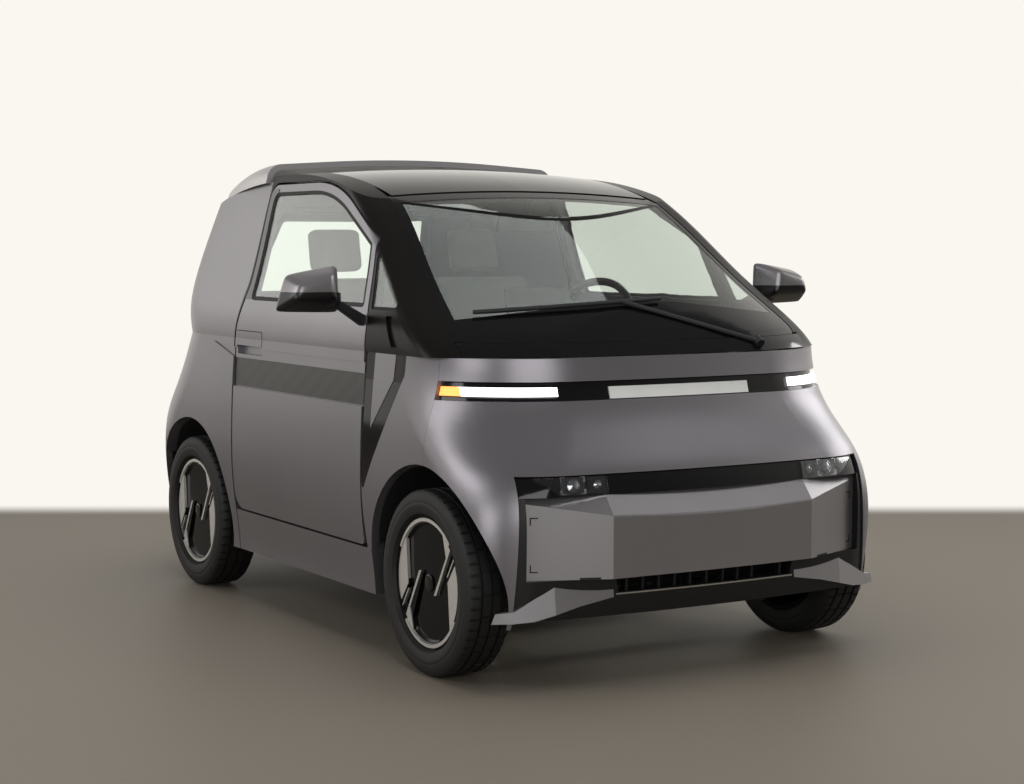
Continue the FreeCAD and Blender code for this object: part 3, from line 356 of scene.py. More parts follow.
# A band along a sheet's own edges.
def borderRing(mesh, width):
    inset = bmesh.ops.inset_region(
        mesh, faces=mesh.faces[:], thickness=width, use_boundary=True, use_even_offset=False)
    ring = set(inset["faces"])
    bmesh.ops.delete(mesh, geom=[face for face in mesh.faces if face not in ring], context="FACES")
    return mesh


# Lifts a sheet off its ground and gives it thickness, outwards.
def plate(mesh, lift, thickness):
    mesh.normal_update()
    normals = {}
    for vert in mesh.verts:
        normal = vert.normal.copy()
        vert.co += normal * lift
        normals[vert.co.to_tuple(6)] = normal
    raised = bmesh.ops.extrude_face_region(mesh, geom=mesh.faces[:], use_keep_orig=True)["geom"]
    for part in raised:
        if isinstance(part, bmesh.types.BMVert):
            part.co += normals[part.co.to_tuple(6)] * thickness
    return mesh


def finish(mesh, name, body, material, sharp=32):
    bmesh.ops.remove_doubles(mesh, verts=mesh.verts, dist=0.000005)
    bmesh.ops.recalc_face_normals(mesh, faces=mesh.faces)
    for face in mesh.faces:
        face.smooth = True
    for edge in mesh.edges:
        edge.smooth = edge.is_manifold and edge.calc_face_angle(0) < math.radians(sharp)
    data = bpy.data.meshes.new(name)
    mesh.to_mesh(data)
    mesh.free()
    data.materials.append(material)
    piece = bpy.data.objects.new(name, data)
    scene.collection.objects.link(piece)
    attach(piece, body)
    return piece


# A bar with rounded edges, from its middle and its size.
def roundedBar(mesh, middle, extent, bevel, turn=None):
    made = bmesh.ops.create_cube(mesh, size=1.0)["verts"]
    bmesh.ops.scale(mesh, vec=extent, verts=made)
    edges = list({edge for vert in made for edge in vert.link_edges})
    cut = bmesh.ops.bevel(
        mesh, geom=edges, offset=bevel, segments=3, affect="EDGES", profile=0.5, material=-1)
    verts = [vert for vert in set(made) | set(cut["verts"]) if vert.is_valid]
    if turn:
        bmesh.ops.rotate(mesh, cent=(0, 0, 0), matrix=Matrix.Rotation(turn[0], 3, turn[1]), verts=verts)
    bmesh.ops.translate(mesh, vec=middle, verts=verts)
    return verts


# A turned part: its section is (along, radius) from end to end about an axis.
def turned(mesh, section, centre, axis, steps, angle=2 * math.pi, start=0.0):
    along = Vector(axis).normalized()
    across = Vector((0, 0, 1)) if abs(along.z) < 0.9 else Vector((0, 1, 0))
    across = (across - along * across.dot(along)).normalized()
    across.rotate(Matrix.Rotation(start, 3, along))
    verts = [mesh.verts.new(Vector(centre) + along * a + across * max(r, 0.00001)) for a, r in section]
    edges = [mesh.edges.new(pair) for pair in zip(verts, verts[1:])]
    whole = angle >= 2 * math.pi
    bmesh.ops.spin(
        mesh, geom=verts + edges, cent=centre, axis=along, steps=steps, angle=angle, use_merge=whole)


def surfaceAt(node, origin, direction):
    mesh = copyNode(node)
    tree = BVHTree.FromBMesh(mesh)
    place, normal, face, distance = tree.ray_cast(Vector(origin), Vector(direction))
    mesh.free()
    return place, normal


sides = (("left", 1), ("right", -1))
forward = (0, -1, 0)
backward = (0, 1, 0)
frontAxle = -0.980
rearAxle = 0.850
wheelHeight = 0.2785
wheelX = 0.660

# Wheels. A tyre's lugs are (least across, most across, least radius, one in so many steps, first step).
tyreForm = {
    "section": [
        (-0.0550, 0.1905), (-0.0570, 0.1990), (-0.0660, 0.2030), (-0.0700, 0.2060), (-0.0725, 0.2066),
        (-0.0745, 0.2130), (-0.0770, 0.2280), (-0.0775, 0.2380), (-0.0765, 0.2395), (-0.0768, 0.2410),
        (-0.0755, 0.2520), (-0.0715, 0.2650), (-0.0660, 0.2735), (-0.0600, 0.2772), (-0.0385, 0.2785),
        (-0.0375, 0.2715), (-0.0305, 0.2715), (-0.0295, 0.2785), (-0.0045, 0.2785), (-0.0035, 0.2715),
    ],
    "steps": 216,
    "lugs": [(0.039, 0.066, 0.270, 4, 0), (0.006, 0.029, 0.277, 8, 3)],
    "lugEdge": 0.0012, "lugDepth": 0.0040,
}
rimForm = {
    "reach": 0.1905, "face": 0.0505, "plate": 0.0100,
    "crescent": [((0.133, 0.100), (0.123, -0.018)), ((0.123, -0.018), (0.179, -0.091))],
    "bar": [(0.0530, 0.0302), (0.0385, 0.0330), (0.1130, -0.0900), (0.0930, -0.1540), (0.1380, -0.1160)],
    "line": ((-0.168, 0.104), (-0.120, 0.034)), "lineHalf": 0.0022,
    "lip": (math.radians(-136), math.radians(-27.8)),
    "lipSection": [(0.0565, 0.1795), (0.0632, 0.1825), (0.0632, 0.1925), (0.0600, 0.1925), (0.0555, 0.1805)],
    "hubFace": 0.052, "hubSection": [(0.0, 0.026), (0.0045, 0.025), (0.0055, 0.022), (0.0055, 0.0)],
}


def tyrePiece(name, centre, body):
    mesh = bmesh.new()
    half = tyreForm["section"]
    section = half + [(-a, r) for a, r in reversed(half)]
    turned(mesh, section + [section[0]], centre, (1, 0, 0), tyreForm["steps"])
    bmesh.ops.remove_doubles(mesh, verts=mesh.verts, dist=0.00001)
    bmesh.ops.recalc_face_normals(mesh, faces=mesh.faces)
    pitch = 2 * math.pi / tyreForm["steps"]
    lugs = []
    for face in mesh.faces:
        middle = face.calc_center_median() - Vector(centre)
        step = math.floor(math.atan2(middle.z, middle.y) / pitch)
        for low, high, least, every, first in tyreForm["lugs"]:
            if low < abs(middle.x) < high and middle.yz.length > least and step % every == first:
                lugs.append(face)
    bmesh.ops.inset_individual(mesh, faces=lugs, thickness=tyreForm["lugEdge"], depth=-tyreForm["lugDepth"])
    finish(mesh, name, body, tyreRubber, 40)
    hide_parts(name.replace("Tread", ""))


# The machined faces of a rim: two crescents, two bent bars and two thin lines, each pair half a turn apart.
def wheelPlates(name, centre, side, body):
    outward = Vector((side, 0, 0))
    sideways = Matrix.Rotation(math.pi / 2, 4, "Y")
    mesh = bmesh.new()
    for turn in (1, -1):
        disc = bmesh.new()
        bmesh.ops.create_circle(disc, cap_ends=True, segments=160, radius=rimForm["reach"], matrix=sideways)
        for (y1, z1), (y2, z2) in rimForm["crescent"]:
            normal = Vector((0, z2 - z1, y1 - y2)).normalized() * turn
            bisect(disc, Vector((0, y1, z1)) * turn, normal)
        data = bpy.data.meshes.new("crescentPart")
        disc.to_mesh(data)
        disc.free()
        mesh.from_mesh(data)
        bpy.data.meshes.remove(data)
        mesh.faces.new([mesh.verts.new((0, turn * y, turn * z)) for y, z in rimForm["bar"]])
        first, last = [Vector((0, y, z)) for y, z in rimForm["line"]]
        along = (last - first).normalized()
        across = Vector((0, -along.z, along.y)) * rimForm["lineHalf"]
        corners = (first - across, last - across, last + across, first + across)
        mesh.faces.new([mesh.verts.new(corner * turn) for corner in corners])
    bmesh.ops.recalc_face_normals(mesh, faces=mesh.faces)
    turnedIn = [flat for flat in mesh.faces if flat.normal.dot(outward) < 0]
    bmesh.ops.reverse_faces(mesh, faces=turnedIn)
    raised = bmesh.ops.extrude_face_region(mesh, geom=mesh.faces[:])["geom"]
    lifted = [part for part in raised if isinstance(part, bmesh.types.BMVert)]
    bmesh.ops.translate(mesh, vec=outward * rimForm["plate"], verts=lifted)
    bmesh.ops.translate(mesh, vec=Vector(centre) + outward * rimForm["face"], verts=mesh.verts)
    finish(mesh, name + "_plates", body, machined)
    mesh = bmesh.new()
    low, high = rimForm["lip"]
    for extra in (0, math.pi):
        section = [(side * a, r) for a, r in rimForm["lipSection"]]
        turned(mesh, section + [section[0]], centre, (1, 0, 0), 60, high - low, extra - math.pi / 2 - high)
    bmesh.ops.holes_fill(mesh, edges=mesh.edges[:], sides=6)
    finish(mesh, name + "_lip", body, machined)


for stem, side in sides:
    for end, axle in (("front", frontAxle), ("rear", rearAxle)):
        centre = (side * wheelX, axle, wheelHeight)
        wheel = "wheel_" + end + "_" + stem
        tyrePiece("tyre_" + end + "_" + stem + "Tread", centre, wheel)
        wheelPlates("rim_" + end + "_" + stem, centre, side, wheel)
        mesh = bmesh.new()
        hub = Vector(centre) + Vector((side * rimForm["hubFace"], 0, 0))
        turned(mesh, [(side * a, r) for a, r in rimForm["hubSection"]], hub, (1, 0, 0), 48)
        finish(mesh, "hub_cap_" + end + "_" + stem, wheel, black)
print("wheels are dressed")

# Mirrors: a soft shell that narrows forward and outward, with its glass set in the back, on the node's arm
mirrorForm = {
    "front": [(0.842, 1.104), (0.858, 1.192), (0.968, 1.160), (0.985, 1.108)],
    "back": [(0.796, 1.060), (0.800, 1.218), (0.985, 1.188), (1.022, 1.066)],
    "frontY": -0.640, "backY": -0.552, "bevel": 0.020, "rim": 0.010, "step": 0.002, "sink": 0.004,
    "arm": {"x": (0.60, 0.862), "z": (0.98, 1.128)},
}


def mirrorHead(name, side, body):
    mesh = bmesh.new()
    front = [mesh.verts.new((side * x, mirrorForm["frontY"], z)) for x, z in mirrorForm["front"]]
    back = [mesh.verts.new((side * x, mirrorForm["backY"], z)) for x, z in mirrorForm["back"]]
    for index in range(4):
        after = (index + 1) % 4
        mesh.faces.new((front[index], front[after], back[after], back[index]))
    nose = mesh.faces.new(front)
    mesh.faces.new(back[::-1])
    bmesh.ops.recalc_face_normals(mesh, faces=mesh.faces)
    lengthways = [edge for edge in mesh.edges if (edge.verts[0] in front) != (edge.verts[1] in front)]
    bmesh.ops.bevel(
        mesh, geom=list(nose.edges) + lengthways, offset=mirrorForm["bevel"], segments=3, affect="EDGES",
        profile=0.5, material=-1)
    opening = max((flat for flat in mesh.faces if flat.normal.y > 0.9), key=lambda flat: flat.calc_area())
    bmesh.ops.inset_region(mesh, faces=[opening], thickness=mirrorForm["rim"], use_even_offset=True)
    bmesh.ops.inset_region(
        mesh, faces=[opening], thickness=mirrorForm["step"], depth=-mirrorForm["sink"], use_even_offset=True)
    sheet = bmesh.new()
    sheet.faces.new([sheet.verts.new(vert.co) for vert in opening.verts])
    shell = finish(mesh, name, body, mirrorPaint, 60)
    softened = shell.modifiers.new("soften", "SUBSURF")
    softened.levels = softened.render_levels = 2
    bmesh.ops.recalc_face_normals(sheet, faces=sheet.faces)
    for flat in sheet.faces:
        if flat.normal.y < 0:
            flat.normal_flip()
    bmesh.ops.inset_region(
        sheet, faces=sheet.faces[:], thickness=0.001, use_boundary=True, use_even_offset=False)
    finish(plate(sheet, 0.0004, 0.0012), name.replace("shell", "glass"), body, silvered)
    return shell


# Doors. The arm rest is a list of (middle, size, bevel), for the left side.
doorForm = {
    "band": {"y": (-0.582, 0.437), "z": (0.7775, 0.8755)},
    "handle": {"y": (0.209, 0.428), "z": (0.9705, 0.9735)},
    "handleEnd": {"y": (0.2065, 0.2095), "z": (0.921, 0.9735)},
    "pillar": {"y": (0.345, 0.60), "z": (1.083, 1.470)},
    "lining": {"y": (-0.56, 0.41), "z": (0.375, 1.045)},
    "armRest": [
        ((0.640, 0.02, 0.715), (0.050, 0.52, 0.045), 0.016),
        ((0.640, -0.20, 0.80), (0.030, 0.05, 0.13), 0.012),
    ],
    "seal": 0.013,
}
for stem, side in sides:
    body = "door_" + stem
    out = (side, 0, 0)
    mesh = plate(skinPatch(body, out, 0.7, **doorForm["band"]), 0.0003, 0.0012)
    finish(mesh, "door_band_" + stem, body, bandFilm)
    mesh = plate(skinPatch(body, out, 0.5, **doorForm["handle"]), 0.0001, 0.0004)
    finish(mesh, "handle_line_" + stem, body, seam)
    mesh = plate(skinPatch(body, out, 0.5, **doorForm["handleEnd"]), 0.0001, 0.0004)
    finish(mesh, "handle_end_" + stem, body, seam)
    mesh = plate(skinPatch(body, out, 0.5, **doorForm["pillar"]), 0.0003, 0.0010)
    finish(mesh, "pillar_strip_" + stem, body, black)
    mesh = plate(borderRing(skinPatch("door_glass_" + stem, out, 0.5), doorForm["seal"]), 0.0002, 0.0025)
    finish(mesh, "window_seal_" + stem, body, sealRubber)
    mesh = plate(skinPatch(body, (-side, 0, 0), 0.7, **doorForm["lining"]), 0.0005, 0.006)
    finish(mesh, "door_lining_" + stem, body, cabin)
    mesh = bmesh.new()
    for (x, y, z), extent, bevel in doorForm["armRest"]:
        roundedBar(mesh, (side * x, y, z), extent, bevel)
    finish(mesh, "arm_rest_" + stem, body, seatTrim)
    shell = mirrorHead("mirror_shell_" + stem, side, body)
    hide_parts("mirror_" + stem)
    arm = crop(copyNode("mirror_" + stem), **onSide(mirrorForm["arm"], side))
    bmesh.ops.holes_fill(arm, edges=arm.edges[:], sides=0)
    finish(arm, "mirror_arm_" + stem, body, plastic)
print("doors are dressed")

# Glazing: black ceramic borders, rubber seals and a black band at the windscreen's foot, partly ceramic frit
# and partly painted shade of the dashboard seen through the glass
screenForm = {
    "border": 0.030, "rearBorder": 0.035, "quarterBorder": 0.008, "outward": (0, -0.6, 0.8),
    "lowMiddle": 1.096, "lowSide": 1.050, "level": 0.150, "half": 0.600, "topBand": -0.395,
}
frit = borderRing(skinPatch("windscreen", screenForm["outward"], 0.3), screenForm["border"])
finish(plate(frit, 0.0002, 0.0005), "windscreen_border", "root", black)
# Black band at the windscreen's foot with an arched top: partly ceramic frit, partly painted shade where the
# dashboard lies in shadow behind the glass.
mesh = skinPatch("windscreen", forward, 0.1, z=(0.9, screenForm["lowMiddle"]))
fall = screenForm["lowMiddle"] - screenForm["lowSide"]
for across in (-1, 1):
    bend = (across * screenForm["level"], 0, screenForm["lowMiddle"])
    bisect(mesh, bend, Vector((across * fall, 0, screenForm["half"] - screenForm["level"])))
finish(plate(mesh, 0.0003, 0.0005), "windscreen_frit_and_dash_shade", "root", black)
mesh = skinPatch("windscreen", screenForm["outward"], 0.3, y=(screenForm["topBand"], 0))
finish(plate(mesh, 0.0003, 0.0005), "windscreen_upper_band", "root", black)
frit = borderRing(skinPatch("hatch_glass", backward, 0.1), screenForm["rearBorder"])
finish(plate(frit, 0.0002, 0.0005), "rear_window_border", "hatch", black)
for stem, side in sides:
    frit = borderRing(skinPatch("quarter_lights", (side, 0, 0), 0.4), screenForm["quarterBorder"])
    finish(plate(frit, 0.0002, 0.0010), "quarter_light_border_" + stem, "root", sealRubber)

# Front: plate strip, lamps, block marks and grille line. Boxes are for the left side; a mark is its edge's
# height and whether it lies at the block's top; a projector is its place across and its share of the radius.
frontForm = {
    "strip": {"x": (-0.254, 0.254), "z": (0.8235, 0.8590)},
    "lampWhole": {"x": (0.350, 0.620)},
    "lampBack": {"x": (0.422, 0.500), "z": (0.5680, 0.6160)},
    "auxBack": {"x": (0.357, 0.413), "z": (0.5690, 0.6150)},
    "bracketLong": 0.0140, "bracketWide": 0.0025,
    "grilleLine": {"x": (-0.322, 0.322), "z": (0.2700, 0.2745)},
    "slots": {"x": (0.394, 0.451), "z": (0.3253, 0.3310)},
    "marks": [(0.506, True), (0.348, False)],
    "markOuter": 0.585, "markInner": 0.563, "markLine": 0.0035, "markHigh": 0.0220,
    "projectors": [(0.461, 1.0), (0.385, 0.62)], "projectorZ": 0.592, "projectorRadius": 0.0195,
    "projectorSection": [
        (0.0, 1.0), (0.0038, 1.0), (0.0042, 0.92), (0.0018, 0.86), (0.0040, 0.5), (0.0050, 0.0),
    ],
}


# Bright brackets at the four corners of a lamp's reflector, two strips to a corner.
def lampBrackets(stem, side):
    reaches = (frontForm["bracketWide"], frontForm["bracketLong"])
    number = 0
    for xEdge, inward in zip(frontForm["lampBack"]["x"], (1, -1)):
        for zEdge, upward in zip(frontForm["lampBack"]["z"], (1, -1)):
            for xReach, zReach in (reaches, reaches[::-1]):
                xRange = sorted((xEdge, xEdge + inward * xReach))
                zRange = sorted((zEdge, zEdge + upward * zReach))
                corner = skinPatch("lamp_band", forward, 0.3, **onSide({"x": xRange, "z": zRange}, side))
                name = "lamp_bracket_" + stem + str(number)
                finish(plate(corner, 0.0010, 0.0045), name, "root", chrome)
                number += 1


def blockMarks(stem, side):
    outer, inner, line = frontForm["markOuter"], frontForm["markInner"], frontForm["markLine"]
    tall = frontForm["markHigh"]
    for number, (edge, top) in enumerate(frontForm["marks"]):
        flat = {"x": (inner, outer), "z": (edge - line, edge) if top else (edge, edge + line)}
        upright = {"x": (outer - line, outer), "z": (edge - tall, edge) if top else (edge, edge + tall)}
        for part, ranges in (("flat", flat), ("upright", upright)):
            mesh = plate(skinPatch("bumper_block", forward, 0.3, **onSide(ranges, side)), 0.0001, 0.0004)
            finish(mesh, "block_mark_" + part + "_" + stem + str(number), "root", seam)


mesh = plate(skinPatch("light_bar", forward, 0.5, **frontForm["strip"]), 0.0003, 0.004)
finish(mesh, "front_plate_strip", "root", plateWhite)
mesh = plate(skinPatch("front_valance", forward, 0.5, **frontForm["grilleLine"]), 0.0003, 0.003)
finish(mesh, "grille_line", "root", chrome)
for stem, side in sides:
    lensSkin = skinPatch("headlamps", forward, 0.3, **onSide(frontForm["lampWhole"], side))
    lensPiece = finish(plate(lensSkin, -0.0022, 0.0018), "headlamp_lens_" + stem, "root", lens)
    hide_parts("headlamps")
    mesh = plate(skinPatch("lamp_band", forward, 0.3, **onSide(frontForm["lampBack"], side)), 0.0002, 0.0006)
    finish(mesh, "headlamp_back_" + stem, "root", lampGrey)
    mesh = plate(skinPatch("lamp_band", forward, 0.3, **onSide(frontForm["auxBack"], side)), 0.0002, 0.0006)
    finish(mesh, "aux_lamp_back_" + stem, "root", auxGrey)
    lampBrackets(stem, side)
    mesh = bmesh.new()
    for x, share in frontForm["projectors"]:
        spot, normal = surfaceAt("lamp_band", (side * x, -2.0, frontForm["projectorZ"]), (0, 1, 0))
        radius = frontForm["projectorRadius"] * share
        section = [(a, radius * part) for a, part in frontForm["projectorSection"]]
        turned(mesh, section, spot + normal * 0.0009, normal, 40)
    finish(mesh, "headlamp_projectors_" + stem, "root", projector)
    mesh = plate(skinPatch("bumper_block", forward, 0.3, **onSide(frontForm["slots"], side)), 0.0001, 0.0006)
    finish(mesh, "block_slot_" + stem, "root", seam)
    blockMarks(stem, side)
print("front is dressed")

# Rear: plate recess, blank plate, reflectors, lower trim and the hatch's handle
rearForm = {
    "recess": {"x": (-0.300, 0.300), "z": (0.418, 0.566)},
    "plate": {"x": (-0.260, 0.260), "z": (0.437, 0.547)},
    "trim": {"x": (-0.560, 0.560), "z": (0.150, 0.262)},
    "reflector": {"x": (0.400, 0.500), "z": (0.300, 0.326)},
    "grip": {"x": (-0.120, 0.120), "z": (0.690, 0.712)},
}
mesh = plate(skinPatch("rear_bumper", backward, 0.5, **rearForm["recess"]), 0.0003, 0.0030)
finish(mesh, "plate_panel", "root", plastic)
mesh = plate(skinPatch("rear_bumper", backward, 0.5, **rearForm["plate"]), 0.0034, 0.0030)
finish(mesh, "rear_plate_blank", "root", plateWhite)
mesh = plate(skinPatch("rear_bumper", backward, 0.3, **rearForm["trim"]), 0.0003, 0.0040)
finish(mesh, "rear_lower_trim", "root", plastic)
mesh = plate(skinPatch("hatch", backward, 0.5, **rearForm["grip"]), 0.0003, 0.0080)
finish(mesh, "hatch_handle", "hatch", black)
for stem, side in sides:
    # The reflectors take the tail lamps' lens, which glows a little: a painted glow, since reflectors are no
    # lamps.
    patch = skinPatch("rear_bumper", backward, 0.4, **onSide(rearForm["reflector"], side))
    finish(plate(patch, 0.0003, 0.0040), "rear_reflector_" + stem, "root", redLens)
print("rear is dressed")

# Cabin: linings, steering wheel, displays and inner mirror
cabinForm = {
    "headliner": {"x": (-0.48, 0.48), "y": (-0.30, 0.85)},
    "mat": {"x": (-0.57, 0.57), "y": (-0.53, -0.14)},
    "displayTilt": (math.radians(-12), "X"),
    "housings": [
        ((0.0, -0.425, 1.060), (0.250, 0.018, 0.140)), ((0.290, -0.450, 1.035), (0.230, 0.020, 0.075)),
    ],
    "displayFoot": ((0.0, -0.445, 1.010), (0.060, 0.030, 0.060)),
    "screens": [
        ((0.0, -0.4155, 1.062), (0.236, 0.002, 0.126)), ((0.290, -0.4395, 1.037), (0.216, 0.002, 0.062)),
    ],
}
mesh = plate(skinPatch("roof_panel", (0, 0, -1), 0.6, **cabinForm["headliner"]), 0.0005, 0.006)
finish(mesh, "headliner", "root", linerCloth)
mesh = plate(skinPatch("floor_tub", (0, 0, 1), 0.7, **cabinForm["mat"]), 0.0005, 0.006)
finish(mesh, "floor_mat", "root", carpet)

wheelForm = {
    "column": (0.290, -0.440, 0.915), "reach": 0.172, "axis": (0, 0.9063, 0.4229),
    "radius": 0.175, "grip": 0.0135, "hubBack": 0.022,
    "hub": [(0.0, 0.0), (0.0, 0.040), (0.012, 0.055), (0.030, 0.058), (0.038, 0.050), (0.041, 0.0)],
    "spokes": [
        ((0.110, 0, 0), (0.125, 0.014, 0.034)), ((-0.110, 0, 0), (0.125, 0.014, 0.034)),
        ((0, 0, -0.110), (0.030, 0.014, 0.125)),
    ],
}
mesh = bmesh.new()
axis = Vector(wheelForm["axis"])
centre = Vector(wheelForm["column"]) + axis * wheelForm["reach"]
ringSection = []
for step in range(17):
    around = step * math.pi / 8
    radius = wheelForm["radius"] + wheelForm["grip"] * math.sin(around)
    ringSection.append((wheelForm["grip"] * math.cos(around), radius))
turned(mesh, ringSection, centre, axis, 96)
turned(mesh, wheelForm["hub"], centre - axis * wheelForm["hubBack"], axis, 48)
lean = Matrix.Rotation(math.asin(axis.z), 3, "X")
for middle, extent in wheelForm["spokes"]:
    spokeVerts = roundedBar(mesh, middle, extent, 0.005)
    bmesh.ops.rotate(mesh, cent=(0, 0, 0), matrix=lean, verts=spokeVerts)
    bmesh.ops.translate(mesh, vec=centre, verts=spokeVerts)
finish(mesh, "steering_wheel_rim", "steering_wheel", gripLeather)
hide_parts("steering_wheel")

mesh = bmesh.new()
for middle, extent in cabinForm["housings"]:
    roundedBar(mesh, middle, extent, 0.008, cabinForm["displayTilt"])
roundedBar(mesh, *cabinForm["displayFoot"], 0.008)
finish(mesh, "display_housings", "root", cabin)
mesh = bmesh.new()
for middle, extent in cabinForm["screens"]:
    roundedBar(mesh, middle, extent, 0.0009, cabinForm["displayTilt"])
finish(mesh, "display_glass", "root", black)
mesh = bmesh.new()
roundedBar(mesh, (0.0, -0.335, 1.345), (0.210, 0.022, 0.062), 0.009, (math.radians(10), "X"))
roundedBar(mesh, (0.0, -0.352, 1.395), (0.020, 0.020, 0.080), 0.006, (math.radians(20), "X"))
finish(mesh, "inner_mirror", "root", cabin)


# Seats: each pad starts as a block with rounded edges, swells as cloth under pressure and is copied
# to the other seat.
seatForm = {
    "cushion": {"middle": (0.290, 0.120, 0.520), "extent": (0.450, 0.530, 0.115), "turn": -2.0},
    "back": {"middle": (0.290, 0.443, 0.845), "extent": (0.430, 0.095, 0.640), "turn": -9.0},
    "head": {"middle": (0.290, 0.533, 1.250), "extent": (0.200, 0.065, 0.155), "turn": -11.0},
    "roundShare": 0.34, "voxel": 0.008, "pressure": 4.0, "frames": 20, "cap": 0.014, "headCap": 0.008,
}


def paddedForm(name, form):
    mesh = bmesh.new()
    made = bmesh.ops.create_cube(mesh, size=1.0)["verts"]
    bmesh.ops.scale(mesh, vec=form["extent"], verts=made)
    rounding = min(form["extent"]) * seatForm["roundShare"]
    bmesh.ops.bevel(
        mesh, geom=mesh.edges[:], offset=rounding, segments=4, affect="EDGES", profile=0.5, material=-1)
    leaning = Matrix.Rotation(math.radians(form["turn"]), 3, "X")
    bmesh.ops.rotate(mesh, cent=(0, 0, 0), matrix=leaning, verts=mesh.verts)
    bmesh.ops.translate(mesh, vec=form["middle"], verts=mesh.verts)
    data = bpy.data.meshes.new(name)
    mesh.to_mesh(data)
    mesh.free()
    piece = bpy.data.objects.new(name, data)
    scene.collection.objects.link(piece)
    return piece


def applyModifiers(piece):
    graph = bpy.context.evaluated_depsgraph_get()
    data = bpy.data.meshes.new_from_object(piece.evaluated_get(graph))
    old = piece.data
    piece.modifiers.clear()
    piece.data = data
    bpy.data.meshes.remove(old)


# No point of the cloth moves further than the cap.
def swell(piece, cap):
    remesh = piece.modifiers.new("remesh", "REMESH")
    remesh.mode = "VOXEL"
    remesh.voxel_size = seatForm["voxel"]
    applyModifiers(piece)
    rest = [vert.co.copy() for vert in piece.data.vertices]
    cloth = piece.modifiers.new("cloth", "CLOTH")
    cloth.settings.use_pressure = True
    cloth.settings.uniform_pressure_force = seatForm["pressure"]
    cloth.settings.effector_weights.gravity = 0
    cloth.settings.quality = 5
    cloth.point_cache.frame_end = seatForm["frames"]
    for number in range(1, seatForm["frames"] + 1):
        scene.frame_set(number)
    applyModifiers(piece)
    for vert, start in zip(piece.data.vertices, rest):
        move = vert.co - start
        if move.length > cap:
            vert.co = start + move * (cap / move.length)
    scene.frame_set(1)


def paddedPiece(name, form, cap):
    piece = paddedForm(name + "_left", form)
    swell(piece, cap)
    mesh = bmesh.new()
    mesh.from_mesh(piece.data)
    for sweep in range(3):
        bmesh.ops.smooth_vert(
            mesh, verts=mesh.verts, factor=0.5, use_axis_x=True, use_axis_y=True, use_axis_z=True)
    for face in mesh.faces:
        face.smooth = True
    mesh.to_mesh(piece.data)
    bmesh.ops.translate(mesh, vec=(-2 * form["middle"][0], 0, 0), verts=mesh.verts)
    other = bpy.data.objects.new(name + "_right", bpy.data.meshes.new(name + "_right"))
    mesh.to_mesh(other.data)
    mesh.free()
    scene.collection.objects.link(other)
    for pad, stem in ((piece, "left"), (other, "right")):
        pad.data.materials.clear()
        pad.data.materials.append(seatCloth)
        softened = pad.modifiers.new("soften", "SUBSURF")
        softened.levels = softened.render_levels = 1
        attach(pad, "root")
        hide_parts("seat_pad_" + stem)


paddedPiece("seat_cushion", seatForm["cushion"], seatForm["cap"])
paddedPiece("seat_back", seatForm["back"], seatForm["cap"])
paddedPiece("head_rest", seatForm["head"], seatForm["headCap"])
print("cabin is dressed")

# Stage, lights and camera
stage = {
    "floorColour": "#756d62", "wallColour": "#faf7f0", "roomColour": "#6a6866", "floorSize": 30,
    "wallFrom": 9.15, "wallTo": 9.55, "wallStep": 4.0,
    "backdropFrom": -0.55, "backdropTo": 0.25, "skyFrom": 0.75, "skyTo": 0.2, "diffuseShare": 0.5,
}
view = {"place": (-3.4312, -6.038, 1.2854), "pitch": -4.398, "yaw": 30.682, "lens": 68.9}
ahead = (math.sin(math.radians(view["yaw"])), math.cos(math.radians(view["yaw"])), 0)
mesh = bmesh.new()
bmesh.ops.create_grid(mesh, x_segments=1, y_segments=1, size=stage["floorSize"])
floorMesh = bpy.data.meshes.new("studioFloor")
mesh.to_mesh(floorMesh)
mesh.free()
floor = bpy.data.objects.new("studioFloor", floorMesh)
scene.collection.objects.link(floor)
floorValues = {"Roughness": 0.55}
floorMaterial, tree, shader, place = startMaterial("studioFloorPaint", stage["floorColour"], floorValues)
floor.data.materials.append(floorMaterial)


# Seen rays that are not light on the object: camera, glossy and transmission rays.
def seenRays(tree):
    path = addNode(tree, "ShaderNodeLightPath").outputs
    two = addMaths(tree, "MAXIMUM", None, {0: path["Is Camera Ray"], 1: path["Is Glossy Ray"]})
    return addMaths(tree, "MAXIMUM", None, {0: two, 1: path["Is Transmission Ray"]})


# The floor gives way to white about a metre behind the car. Reflections see that edge further off.
along = addNode(tree, "ShaderNodeVectorMath", {"operation": "DOT_PRODUCT"}, {1: ahead}, {0: place})
mirrored = addNode(tree, "ShaderNodeLightPath").outputs["Is Glossy Ray"]
away = addMaths(tree, "MULTIPLY_ADD", {1: -stage["wallStep"]}, {0: mirrored, 2: along.outputs["Value"]})
start = view["place"][0] * ahead[0] + view["place"][1] * ahead[1]
cove = smoothRange(tree, away, start + stage["wallFrom"], start + stage["wallTo"])
share = addMaths(tree, "MULTIPLY", None, {0: cove, 1: seenRays(tree)})
wall = addNode(tree, "ShaderNodeEmission", None, {"Color": toLinear(stage["wallColour"]), "Strength": 1.0})
surfaces = {0: share, 1: shader.outputs["BSDF"], 2: wall.outputs["Emission"]}
blendWall = addNode(tree, "ShaderNodeMixShader", None, None, surfaces)
tree.links.new(blendWall.outputs["Shader"], tree.nodes["Material Output"].inputs["Surface"])

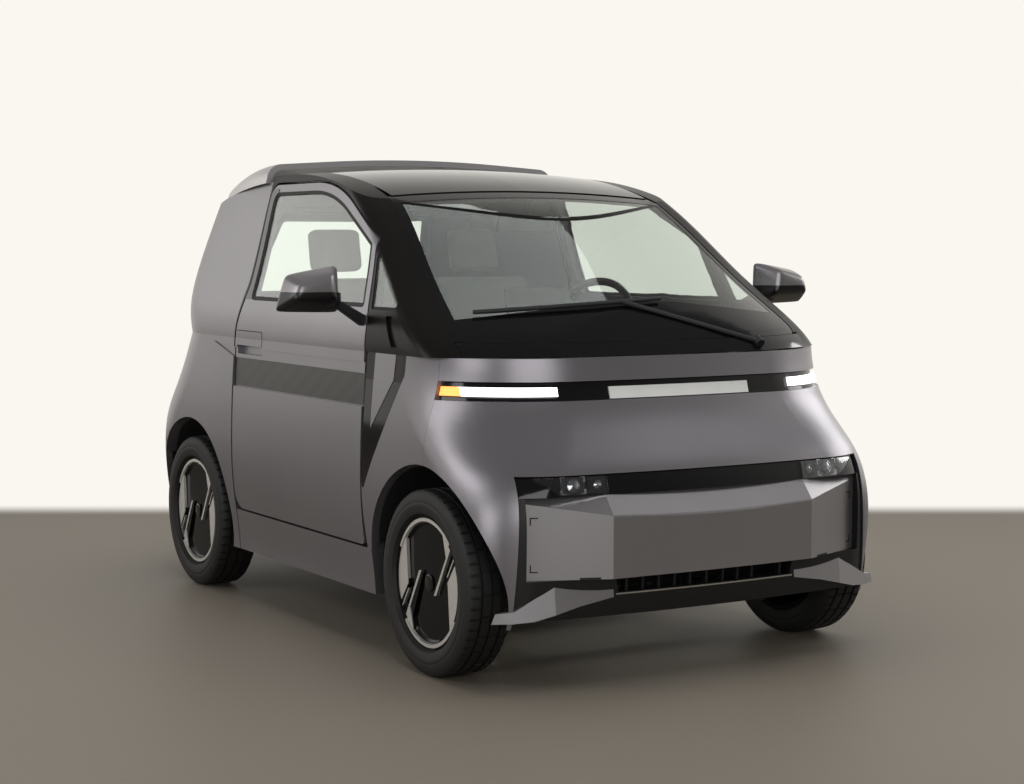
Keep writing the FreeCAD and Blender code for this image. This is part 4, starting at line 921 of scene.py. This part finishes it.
# White behind the car, mid grey in the room in front of it and overhead, and half as strong as light
# on diffuse surfaces.
world = bpy.data.worlds.new("studioWorld")
scene.world = world
world.use_nodes = True
tree = world.node_tree
background = tree.nodes["Background"]
heading = addNode(tree, "ShaderNodeTexCoord").outputs["Generated"]
facing = addNode(tree, "ShaderNodeVectorMath", {"operation": "DOT_PRODUCT"}, {1: ahead}, {0: heading})
backdrop = smoothRange(tree, facing.outputs["Value"], stage["backdropFrom"], stage["backdropTo"])
height = addNode(tree, "ShaderNodeSeparateXYZ", links={"Vector": heading})
low = smoothRange(tree, height.outputs["Z"], stage["skyFrom"], stage["skyTo"])
wallShare = addMaths(tree, "MULTIPLY", None, {0: backdrop, 1: low})
mixColours(tree, wallShare, stage["roomColour"], stage["wallColour"], background.inputs["Color"])
dim = stage["diffuseShare"]
power = addMaths(tree, "MULTIPLY_ADD", {1: 1 - dim, 2: dim}, {0: seenRays(tree)})
tree.links.new(power, background.inputs["Strength"])

lights = {
    "ceilingSoftbox": {"at": (0, -0.2, 4.2), "aim": (0, 0, 0), "size": (4.0, 6.0), "power": 190},
    "frontFill": {"at": (-2.2, -7.0, 2.0), "aim": (0, -1.2, 0.5), "size": (4.5, 2.4), "power": 105},
    "sideFill": {"at": (-6.0, 0.2, 3.4), "aim": (0, 0, 0.9), "size": (4.5, 2.0), "power": 95},
    "cornerFill": {"at": (-6.5, -3.4, 1.2), "aim": (-0.6, -1.2, 0.4), "size": (2.6, 1.8), "power": 60},
    "rearSidePanel": {"at": (-4.6, 6.6, 3.0), "aim": (-0.6, 0.6, 1.1), "size": (4.0, 1.8), "power": 16},
    "noseLight": {"at": (2.3, -2.6, 4.1), "aim": (0, -1.3, 0.5), "size": (1.8, 1.4), "power": 6},
    "farFill": {"at": (5.5, -1.0, 2.8), "aim": (0, 0, 0.7), "size": (4.0, 1.6), "power": 80},
}
for name, entry in lights.items():
    data = bpy.data.lights.new(name, "AREA")
    data.shape = "RECTANGLE"
    data.size, data.size_y = entry["size"]
    data.energy = entry["power"]
    light = bpy.data.objects.new(name, data)
    light.location = entry["at"]
    light.visible_glossy = name != "ceilingSoftbox"
    beam = Vector(entry["aim"]) - Vector(entry["at"])
    light.rotation_euler = beam.to_track_quat("-Z", "Y").to_euler()
    scene.collection.objects.link(light)

cameraData = bpy.data.cameras.new("photoCamera")
cameraData.lens = view["lens"]
camera = bpy.data.objects.new("photoCamera", cameraData)
camera.location = view["place"]
camera.rotation_euler = (math.radians(90 + view["pitch"]), 0, -math.radians(view["yaw"]))
scene.collection.objects.link(camera)
scene.camera = camera
print("stage, lights and camera are in place")
